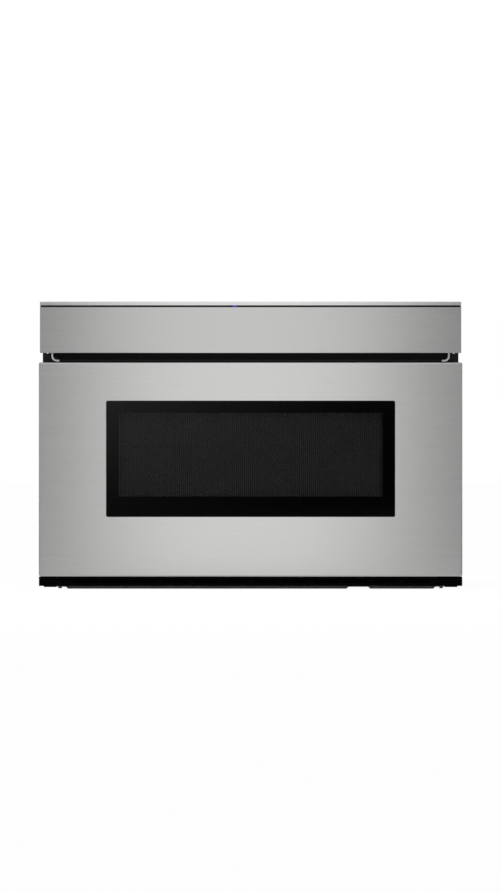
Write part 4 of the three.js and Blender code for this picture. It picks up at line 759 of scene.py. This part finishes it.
def screws(name, places, facing, head, material):
    """One piece on the case with a pan head at each place, all facing one way."""
    turn = Vector(facing).to_track_quat("Z", "Y").to_matrix().to_4x4()
    tool = bmesh.new()
    pattern = bpy.data.meshes.new("screw_pattern")
    single = pan_head(head / 2, head * HEAD_HEIGHT, HEAD_RECESS)
    single.to_mesh(pattern)
    single.free()
    for number, place in enumerate(places):
        start = len(tool.verts)
        tool.from_mesh(pattern)
        tool.verts.ensure_lookup_table()
        drive = Matrix.Rotation(DRIVE_TURN * number, 4, "Z")
        move = Matrix.Translation(place) @ turn @ drive
        bmesh.ops.transform(tool, matrix=move, verts=tool.verts[start:])
    bpy.data.meshes.remove(pattern)
    new_piece(name, tool, material, "chassis")


class DRAWER_OT_case(bpy.types.Operator):
    """Galvanised case and rear panel with their screws, cord gland"""

    bl_idname = "drawer.dress_case"
    bl_label = "Dress the case"

    def execute(self, context):
        looks = context.scene.drawer_case
        sheet = zinc_coated_steel("galvanised_sheet", looks.zinc, looks.spangle)
        give(["outer_case", "rear_panel"], sheet)
        screw = zinc_coated_steel("zinc_plated_screw", looks.screw, 2, 0.3)
        low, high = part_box("outer_case")
        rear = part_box("rear_panel")[1].y
        front_row, rear_row = low.y + FRONT_SCREW_INSET, high.y - REAR_SCREW_INSET
        levels = [low.z + share * (high.z - low.z) for share in SCREW_LEVELS]
        across = (low.x + CORNER_SCREW_INSET, 0, high.x - CORNER_SCREW_INSET)
        heights = (high.z - PANEL_SCREW_INSET, low.z + PANEL_SCREW_INSET)
        side = [(y, z) for y in (front_row, rear_row) for z in levels]
        for name, places, facing in (
            ("case_screws_left", [(low.x, y, z) for y, z in side], (-1, 0, 0)),
            ("case_screws_right", [(high.x, y, z) for y, z in side], (1, 0, 0)),
            ("rear_screws", [(x, rear, z) for z in heights for x in across], (0, 1, 0)),
            ("top_screws", [(x, front_row, high.z) for x in across], (0, 0, 1)),
        ):
            screws(name, places, facing, looks.screw_head, screw)
        nylon = moulded_plastic("nylon_black_moulded", looks.gland, 0.4)
        give(["cord_gland"], nylon)
        return {"FINISHED"}


# ---------------------------------------------------------------- the oven


class DRAWER_OT_oven(bpy.types.Operator):
    """Enamelled cavity and basket, glass-ceramic tray, mica cover"""

    bl_idname = "drawer.dress_oven"
    bl_label = "Dress the oven"

    def execute(self, context):
        looks = context.scene.drawer_oven
        enamel = baked_enamel("vitreous_enamel", looks.enamel, looks.speck)
        give(["cavity_shell", "drawer_basket"], enamel)
        give(["ceramic_tray"], glass_ceramic("glass_ceramic_white", looks.ceramic))
        give(["stirrer_cover"], mica_sheet("mica_pressed", looks.mica))
        return {"FINISHED"}


# ---------------------------------------------------------------- the mechanism and the electrical parts


# Where one solid holds two materials, these say how far one of them reaches in from a side of it.
GEAR_HOUSING = 46.5 * MM  # the drive motor's housing, from its front
TRANSFORMER_ENDS = 13.8 * MM  # winding past the transformer's core, at the front and the rear
TRANSFORMER_FOOT = 3 * MM  # the transformer's steel foot, from below
FAN_WINDING, FAN_YOKE_GAP = 9.8 * MM, 3.8 * MM  # left and right of the fan motor's core
FAN_BEARINGS = 18.5 * MM  # steel above this height of the fan motor
BOARD_SHEET = 9.7 * MM  # the power board with its stand-offs, from below
FILTER_SHEET = 8.1 * MM  # the noise filter's board, from the rear


class DRAWER_OT_mechanism(bpy.types.Operator):
    """Rails, drive, latches, door frame, pivots and small motors"""

    bl_idname = "drawer.dress_mechanism"
    bl_label = "Dress the mechanism"

    def execute(self, context):
        looks = context.scene.drawer_mechanism
        zinc = zinc_coated_steel("zinc_plated_rail", looks.zinc, 4, 0.34)
        rails = both_sides("fixed_rail", "middle_rail", "drawer_rail", "rail_bracket")
        give([*rails, "drive_shaft", "door_frame", "stirrer_motor", "pod_motor"], zinc)
        give(both_sides("pod_pivot"), zinc_coated_steel("zinc_plated_black", looks.pivot, 3))
        acetal = moulded_plastic("acetal_natural", looks.acetal, 0.4, texture=1.4, ior=1.48)
        pairs = both_sides("rack", "pinion", "latch_hook", "switch_holder")
        give([*pairs, "pod_pinion", "oven_lamp"], acetal)
        housing = (OPEN, (None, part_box("drive_motor")[0].y + GEAR_HOUSING, None))
        motor = geared_motor("steel_can_gear_motor", looks.gear_housing, looks.motor_can, housing)
        give(["drive_motor"], motor)
        return {"FINISHED"}


class DRAWER_OT_electrics(bpy.types.Operator):
    """Microwave source, cooling fan, transformer and circuit boards"""

    bl_idname = "drawer.dress_electrics"
    bl_label = "Dress the electrical parts"

    def execute(self, context):
        looks = context.scene.drawer_mechanism
        mill = rolled_aluminium("aluminium_mill_finish", looks.aluminium)
        source = ["waveguide", "magnetron", "magnetron_antenna", "hv_capacitor", "stirrer_fan"]
        give(source, mill)
        black = moulded_plastic("polypropylene_black", looks.polypropylene, 0.5, texture=1.2)
        give(["fan_housing", "air_duct", "fan_impeller"], black)

        low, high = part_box("hv_transformer")
        core = ((None, low.y + TRANSFORMER_ENDS, None), (None, high.y - TRANSFORMER_ENDS, None))
        foot = (OPEN, (None, None, low.z + TRANSFORMER_FOOT))
        low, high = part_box("fan_motor")
        fan_core = ((low.x + FAN_WINDING, None, None), (high.x - FAN_YOKE_GAP, None, None))
        bearings = ((None, None, low.z + FAN_BEARINGS), OPEN)
        for node, name, steel in (
            ("hv_transformer", "laminated_transformer", [core, foot]),
            ("fan_motor", "laminated_fan_motor", [fan_core, bearings]),
        ):
            give([node], wound_core(name, looks.lamination, looks.winding, steel))

        over_board = ((None, None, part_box("control_board")[0].z + BOARD_SHEET), OPEN)
        before_filter = (OPEN, (None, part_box("noise_filter")[1].y - FILTER_SHEET, None))
        for node, name, colour, parts in (
            ("control_board", "board_power", looks.board_parts, over_board),
            ("noise_filter", "board_filter", looks.filter_parts, before_filter),
        ):
            give([node], populated_board(name, looks.board, colour, parts))
        return {"FINISHED"}


# ---------------------------------------------------------------- the control pod


GLASS_SLOPE = math.radians(24)  # how far the touch glass leans back
PRINT_DEPTH = 26 * MM  # middle of the printed row, from the glass's front edge
PRINT_LIFT = 0.04 * MM  # height of the printed signs over the glass
DIGIT_LIFT = 0.05 * MM  # height of the lit figures over the display
INK_ABOVE, INK_BELOW = 0.03 * MM, 0.02 * MM  # thickness of the ink on both sides of its place
DISPLAY_X, START_X, STOP_X = -180 * MM, -85 * MM, -55 * MM
DISPLAY_HALF_WIDTH, DISPLAY_HALF_HEIGHT = 42 * MM, 12 * MM
DIGIT_HEIGHT, DIGIT_STRENGTH = 13 * MM, 0.8
FONT_SIZE = 1.4  # a font's size over the height of its figures
FILLER_PLAY = 0.3 * MM  # between a filler and the glass beside it or the fascia under it
FILLER_INSET = 0.4 * MM  # from the fascia's end
FILLER_DEPTH, FILLER_BEVEL = 2.9 * MM, 0.1 * MM


def printed(name, text, height, place, material):
    """A printed figure: a thin flat text on the glass, its middle at the place."""
    curve = bpy.data.curves.new(name, "FONT")
    curve.body = text
    curve.size = height * FONT_SIZE
    curve.align_x, curve.align_y = "CENTER", "CENTER"
    curve.extrude = INK_ABOVE
    curve.resolution_u = 4
    piece = bpy.data.objects.new(name, curve)
    bpy.context.scene.collection.objects.link(piece)
    piece.matrix_world = place
    curve.materials.append(material)
    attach(piece, "control_pod")


def printed_shape(name, outline, place, material):
    """A printed symbol: a thin flat polygon on the glass."""
    tool = bmesh.new()
    lower = [tool.verts.new((x, y, -INK_BELOW)) for x, y in outline]
    upper = [tool.verts.new((x, y, INK_ABOVE)) for x, y in outline]
    tool.faces.new(upper)
    tool.faces.new(list(reversed(lower)))
    for i in range(len(outline)):
        n = (i + 1) % len(outline)
        tool.faces.new((lower[i], lower[n], upper[n], upper[i]))
    bmesh.ops.transform(tool, matrix=place, verts=tool.verts)
    new_piece(name, tool, material, "control_pod")


def end_strip(name, side, inner, outer, sill, glass_edge, material):
    """A black filler beside the touch glass, which carries the line of its edge on to the pod's end."""
    rear = glass_edge.y + FILLER_DEPTH
    slope_end = glass_edge.z - FILLER_DEPTH * math.tan(GLASS_SLOPE)
    profile = [(glass_edge.y, sill), (glass_edge.y, glass_edge.z), (rear, slope_end), (rear, sill)]
    tool = bmesh.new()
    ends = [[tool.verts.new((side * x, y, z)) for y, z in profile] for x in (inner, outer)]
    for i in range(len(profile)):
        n = (i + 1) % len(profile)
        tool.faces.new((ends[0][i], ends[0][n], ends[1][n], ends[1][i]))
    for end in ends:
        tool.faces.new(end)
    bmesh.ops.recalc_face_normals(tool, faces=tool.faces)
    bmesh.ops.bevel(
        tool, geom=tool.edges, offset=FILLER_BEVEL, offset_type="OFFSET", segments=2, profile=0.5,
        affect="EDGES", clamp_overlap=True,
    )
    new_piece(name, tool, material, "control_pod")


class DRAWER_OT_controls(bpy.types.Operator):
    """Touch glass with generic printed keys, display window, status light"""

    bl_idname = "drawer.make_controls"
    bl_label = "Make the controls"

    def execute(self, context):
        looks = context.scene.drawer_controls
        give(["touch_glass"], float_glass("float_glass_black", looks.glass))
        blue = lit_lens("polycarbonate_blue", looks.light, looks.light_strength)
        give(["status_lens"], blue)
        low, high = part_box("touch_glass")
        fascia_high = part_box("pod_fascia")[1]
        edge = Vector((0, low.y, high.z))
        inner, outer = high.x + FILLER_PLAY, fascia_high.x - FILLER_INSET
        filler = moulded_plastic("abs_black_filler", looks.glass, 0.4, specular=0.1)
        for name, side in zip(both_sides("glass_filler"), (-1, 1)):
            end_strip(name, side, inner, outer, fascia_high.z + FILLER_PLAY, edge, filler)

        glass = Matrix.Translation(edge) @ Matrix.Rotation(-GLASS_SLOPE, 4, "X")
        row = glass @ Matrix.Translation((0, PRINT_DEPTH, PRINT_LIFT))
        ink = moulded_plastic("ceramic_ink", looks.ink, 0.5, texture=0.5)
        for digit in range(10):
            place = row @ Matrix.Translation(((digit - 0.5) * looks.key_step, 0, 0))
            printed(f"key_{digit}", str(digit), looks.key_height, place, ink)
        half = looks.key_height / 2
        triangle = [(-half * 0.8, -half), (half, 0), (-half * 0.8, half)]
        square = [(-half, -half), (half, -half), (half, half), (-half, half)]
        for name, outline, x in (("key_start", triangle, START_X), ("key_stop", square, STOP_X)):
            printed_shape(name, outline, row @ Matrix.Translation((x, 0, 0)), ink)

        window = moulded_plastic("display_filter", looks.display, 0.2, texture=2.0)
        wide, tall = DISPLAY_HALF_WIDTH, DISPLAY_HALF_HEIGHT
        rim = [(-wide, -tall), (wide, -tall), (wide, tall), (-wide, tall)]
        printed_shape("display_window", rim, row @ Matrix.Translation((DISPLAY_X, 0, 0)), window)
        lit = lit_lens("display_digits", looks.digits, DIGIT_STRENGTH)
        digits_at = row @ Matrix.Translation((DISPLAY_X, 0, DIGIT_LIFT))
        printed("display_time", "12:00", DIGIT_HEIGHT, digits_at, lit)
        return {"FINISHED"}


# ---------------------------------------------------------------- the stage


FLOOR_REACH = 40.0
FLOOR_WHITE = 1.02  # strength of the white that the floor shows
FLOOR_WHITE_SHARE = 0.93  # share of that white, and the rest is the light on the floor with its shadow
# The cards give the flat front its tones. A level of 1 is white, and they were set by the photograph.
SIDE_CARD_LEVEL, SIDE_CARD_WIDTH, SIDE_CARD_HEIGHTS = 0.187, 3.0, (-1.0, 1.6)
FLOOR_CARD_LEVEL, FLOOR_CARD_BEFORE_FRONT, FLOOR_CARD_HEIGHT = 1.0, 20 * MM, 2 * MM
# The shade card is a painted shadow: in reflections it stands for the drawer's shadow on the floor.
SHADE_CARD_LEVEL, SHADE_CARD_DEPTH, SHADE_CARD_HEIGHT = 0.56, 0.13, 3 * MM
CENTRE_CARD_LEVEL, CENTRE_CARD_CLIMB, CENTRE_CARD_SLANT = 0.063, 5.9, 1.85
CENTRE_CARD_DISTANCE, CENTRE_CARD_HEIGHT = 10.0, 0.173
CENTRE_CARD_HALF_WIDTH, CENTRE_CARD_HALF_HEIGHT = 0.42, 0.19
KEY_SIZE = 1.6
KEY_LEFT, KEY_BEFORE_FRONT, KEY_HEIGHT = 1.0, 1.6, 2.4
CLIP_START, CLIP_END = 0.1, 200


def rectangle(across, along):
    """The four corners of a rectangle between two limits on each of its axes, in order round it."""
    return [(across[0], along[0]), (across[1], along[0]), (across[1], along[1]), (across[0], along[1])]


def stage_plane(name, corners, material):
    """A flat sheet of the stage between four corners."""
    mesh = bpy.data.meshes.new(name)
    mesh.from_pydata(corners, [], [(0, 1, 2, 3)])
    sheet = bpy.data.objects.new(name, mesh)
    bpy.context.scene.collection.objects.link(sheet)
    mesh.materials.append(material)
    return sheet


def gloss_card(name, corners, material):
    """A card that shows in metal and glass, and stays out of the camera's view and of the light."""
    card = stage_plane(name, corners, material)
    for rays in ("camera", "diffuse", "transmission", "shadow"):
        setattr(card, f"visible_{rays}", False)
    return card


def empty_tree(owner):
    """The node tree of a new material or world, with nothing in it."""
    owner.use_nodes = True
    owner.node_tree.nodes.clear()
    return owner.node_tree


def seen_directly(tree):
    """1 for camera, glossy and transmission rays, so that metal and glass show what the camera shows."""
    path = add(tree, "ShaderNodeLightPath")
    seen = path.outputs["Is Camera Ray"]
    for rays in ("Is Glossy Ray", "Is Transmission Ray"):
        seen = add(
            tree, "ShaderNodeMath", {0: seen, 1: path.outputs[rays]}, operation="MAXIMUM",
        ).outputs[0]
    return seen


def white_floor(colour):
    """A pale matt floor that shows white, apart from a soft shadow."""
    material = bpy.data.materials.new("studio_floor")
    tree = empty_tree(material)
    matt = add(tree, "ShaderNodeBsdfDiffuse", {"Color": rgba(colour)})
    white = add(tree, "ShaderNodeEmission", {"Color": WHITE, "Strength": FLOOR_WHITE})
    share = add(
        tree, "ShaderNodeMath", {0: seen_directly(tree), 1: FLOOR_WHITE_SHARE}, operation="MULTIPLY",
    )
    mixed = add(
        tree, "ShaderNodeMixShader", {0: share.outputs[0], 1: matt.outputs[0], 2: white.outputs[0]},
    )
    add(tree, "ShaderNodeOutputMaterial", {"Surface": mixed.outputs[0]})
    return material


def studio_card(name, level, climb=0.0, slant=0.0):
    """A studio card of the given level at its middle, lighter upwards by climb and leftwards by slant.

    Climb is the share of the level gained in a metre. Slant is the same for the level's root, so that
    the tone falls away smoothly to nothing.
    """
    material = bpy.data.materials.new(name)
    tree = empty_tree(material)
    tone = level
    if climb or slant:
        place = add(tree, "ShaderNodeTexCoord")
        x, _, z = add(tree, "ShaderNodeSeparateXYZ", {0: place.outputs["Object"]}).outputs
        up = add(tree, "ShaderNodeMath", {0: z, 1: climb, 2: 1.0}, operation="MULTIPLY_ADD")
        lit = add(tree, "ShaderNodeMath", {0: up.outputs[0], 1: 0.0}, operation="MAXIMUM")
        root = add(tree, "ShaderNodeMath", {0: x, 1: -slant, 2: 1.0}, operation="MULTIPLY_ADD")
        aside = add(tree, "ShaderNodeMath", {0: root.outputs[0], 1: 2.0}, operation="POWER")
        share = add(tree, "ShaderNodeMath", {0: lit.outputs[0], 1: aside.outputs[0]}, operation="MULTIPLY")
        tone = add(tree, "ShaderNodeMath", {0: share.outputs[0], 1: level}, operation="MULTIPLY").outputs[0]
    glow = add(tree, "ShaderNodeEmission", {"Color": WHITE, "Strength": tone})
    add(tree, "ShaderNodeOutputMaterial", {"Surface": glow.outputs[0]})
    return material


def light_evenly(scene, fill):
    """A world that is seen as white and lights the object with an even fill."""
    scene.world = bpy.data.worlds.new("studio_world")
    tree = empty_tree(scene.world)
    light = add(tree, "ShaderNodeBackground", {"Color": WHITE, "Strength": fill})
    white = add(tree, "ShaderNodeBackground", {"Color": WHITE, "Strength": 1.0})
    mixed = add(
        tree, "ShaderNodeMixShader", {0: seen_directly(tree), 1: light.outputs[0], 2: white.outputs[0]},
    )
    add(tree, "ShaderNodeOutputWorld", {"Surface": mixed.outputs[0]})


def set_cards(looks, front):
    """Cards at both sides, on the floor and far before the front, which the steel and the glass reflect."""
    far, shift = looks.card_distance, looks.card_shift
    side_tone = studio_card("side_card", SIDE_CARD_LEVEL)
    floor_tone = studio_card("floor_card", FLOOR_CARD_LEVEL, slant=-1 / looks.floor_fade)
    for side, word in ((-1, "left"), (1, "right")):
        ends = sorted(side * x + shift for x in (looks.card_gap, looks.card_gap + SIDE_CARD_WIDTH))
        upright = [(x, front - far, z) for x, z in rectangle(ends, SIDE_CARD_HEIGHTS)]
        gloss_card(f"side_card_{word}", upright, side_tone)
        flat = [(x, y, 0) for x, y in rectangle((0, -looks.floor_fade), (-far, 0))]
        floor_card = gloss_card(f"floor_card_{word}", flat, floor_tone)
        floor_card.location = (
            side * looks.floor_card_gap + shift, front - FLOOR_CARD_BEFORE_FRONT, FLOOR_CARD_HEIGHT,
        )
        floor_card.scale.x = -side
    # The shade card: a painted shadow just before the front, seen only in the steel and the glass.
    width = (CAD_BOX[0].x, CAD_BOX[1].x)
    near = [(x, y, SHADE_CARD_HEIGHT) for x, y in rectangle(width, (front - SHADE_CARD_DEPTH, front))]
    gloss_card("shade_card", near, studio_card("shade_card", SHADE_CARD_LEVEL))
    wide, tall = CENTRE_CARD_HALF_WIDTH, CENTRE_CARD_HALF_HEIGHT
    tone = studio_card("centre_card", CENTRE_CARD_LEVEL, CENTRE_CARD_CLIMB, CENTRE_CARD_SLANT)
    distant = [(x, 0, z) for x, z in rectangle((-wide, wide), (-tall, tall))]
    centre_card = gloss_card("centre_card", distant, tone)
    centre_card.location = (0, front - CENTRE_CARD_DISTANCE, CENTRE_CARD_HEIGHT)


def hang_key_lamp(scene, power, front):
    """A large soft lamp before the front, up and to the left, that gloss doesn't show."""
    lamp = bpy.data.lights.new("key_lamp", "AREA")
    lamp.shape = "SQUARE"
    lamp.size = KEY_SIZE
    lamp.energy = power
    key = bpy.data.objects.new("key_lamp", lamp)
    scene.collection.objects.link(key)
    key.visible_glossy = False
    key.location = (-KEY_LEFT, front - KEY_BEFORE_FRONT, KEY_HEIGHT)
    target = (CAD_BOX[0] + CAD_BOX[1]) / 2
    key.rotation_mode = "QUATERNION"
    key.rotation_quaternion = (target - key.location).to_track_quat("-Z", "Y")


def place_camera(scene, lens, front):
    """A camera square to the front, which frames the drawer as the photograph does."""
    camera = bpy.data.objects.new("camera", bpy.data.cameras.new("camera"))
    scene.collection.objects.link(camera)
    scene.camera = camera
    camera.data.sensor_width = SENSOR
    camera.data.lens = lens
    view_height = PHOTO_HEIGHT * METRES_PER_PIXEL
    camera.location = (
        (PHOTO_WIDTH / 2 - PHOTO_CENTRE_X) * METRES_PER_PIXEL,
        front - lens / SENSOR * view_height,
        (PHOTO_FLOOR_Y - PHOTO_HEIGHT / 2) * METRES_PER_PIXEL,
    )
    camera.rotation_euler = (math.radians(90), 0, 0)
    camera.data.clip_start = CLIP_START
    camera.data.clip_end = CLIP_END


class DRAWER_OT_stage(bpy.types.Operator):
    """White floor, even light, studio cards and the camera"""

    bl_idname = "drawer.set_stage"
    bl_label = "Set the stage"

    def execute(self, context):
        looks, scene = context.scene.drawer_stage, context.scene
        scene.view_settings.view_transform = "Standard"
        front = CAD_BOX[0].y
        reach = (-FLOOR_REACH, FLOOR_REACH)
        stage_plane("floor", [(x, y, 0) for x, y in rectangle(reach, reach)], white_floor(looks.floor))
        light_evenly(scene, looks.fill)
        set_cards(looks, front)
        hang_key_lamp(scene, looks.key, front)
        place_camera(scene, looks.lens, front)
        return {"FINISHED"}


# ---------------------------------------------------------------- panel and running


OPERATORS = (
    DRAWER_OT_stage, DRAWER_OT_front, DRAWER_OT_window, DRAWER_OT_case, DRAWER_OT_oven,
    DRAWER_OT_mechanism, DRAWER_OT_electrics, DRAWER_OT_controls,
)


class DRAWER_PT_panel(bpy.types.Panel):
    """Settings and steps of the microwave drawer"""

    bl_idname = "DRAWER_PT_panel"
    bl_label = "Microwave drawer"
    bl_space_type = "VIEW_3D"
    bl_region_type = "UI"
    bl_category = "Drawer"

    def draw(self, context):
        for operator in OPERATORS:
            self.layout.operator(operator.bl_idname)
        for name, group in SETTINGS.items():
            box = self.layout.box()
            box.label(text=group.__doc__)
            for prop in group.__annotations__:
                box.prop(getattr(context.scene, name), prop)


def register():
    """Add the settings, the operators and the panel to Blender."""
    for group in SETTINGS.values():
        bpy.utils.register_class(group)
    for name, group in SETTINGS.items():
        setattr(bpy.types.Scene, name, PointerProperty(type=group))
    for operator in OPERATORS:
        bpy.utils.register_class(operator)
    bpy.utils.register_class(DRAWER_PT_panel)


def unregister():
    """Take them away again, in the opposite order."""
    bpy.utils.unregister_class(DRAWER_PT_panel)
    for operator in reversed(OPERATORS):
        bpy.utils.unregister_class(operator)
    for name in SETTINGS:
        delattr(bpy.types.Scene, name)
    for group in reversed(SETTINGS.values()):
        bpy.utils.unregister_class(group)


def main():
    """Register the add-on and run every step."""
    register()
    for operator in OPERATORS:
        group, step = operator.bl_idname.split(".")
        getattr(getattr(bpy.ops, group), step)()


if __name__ == "__main__":
    main()
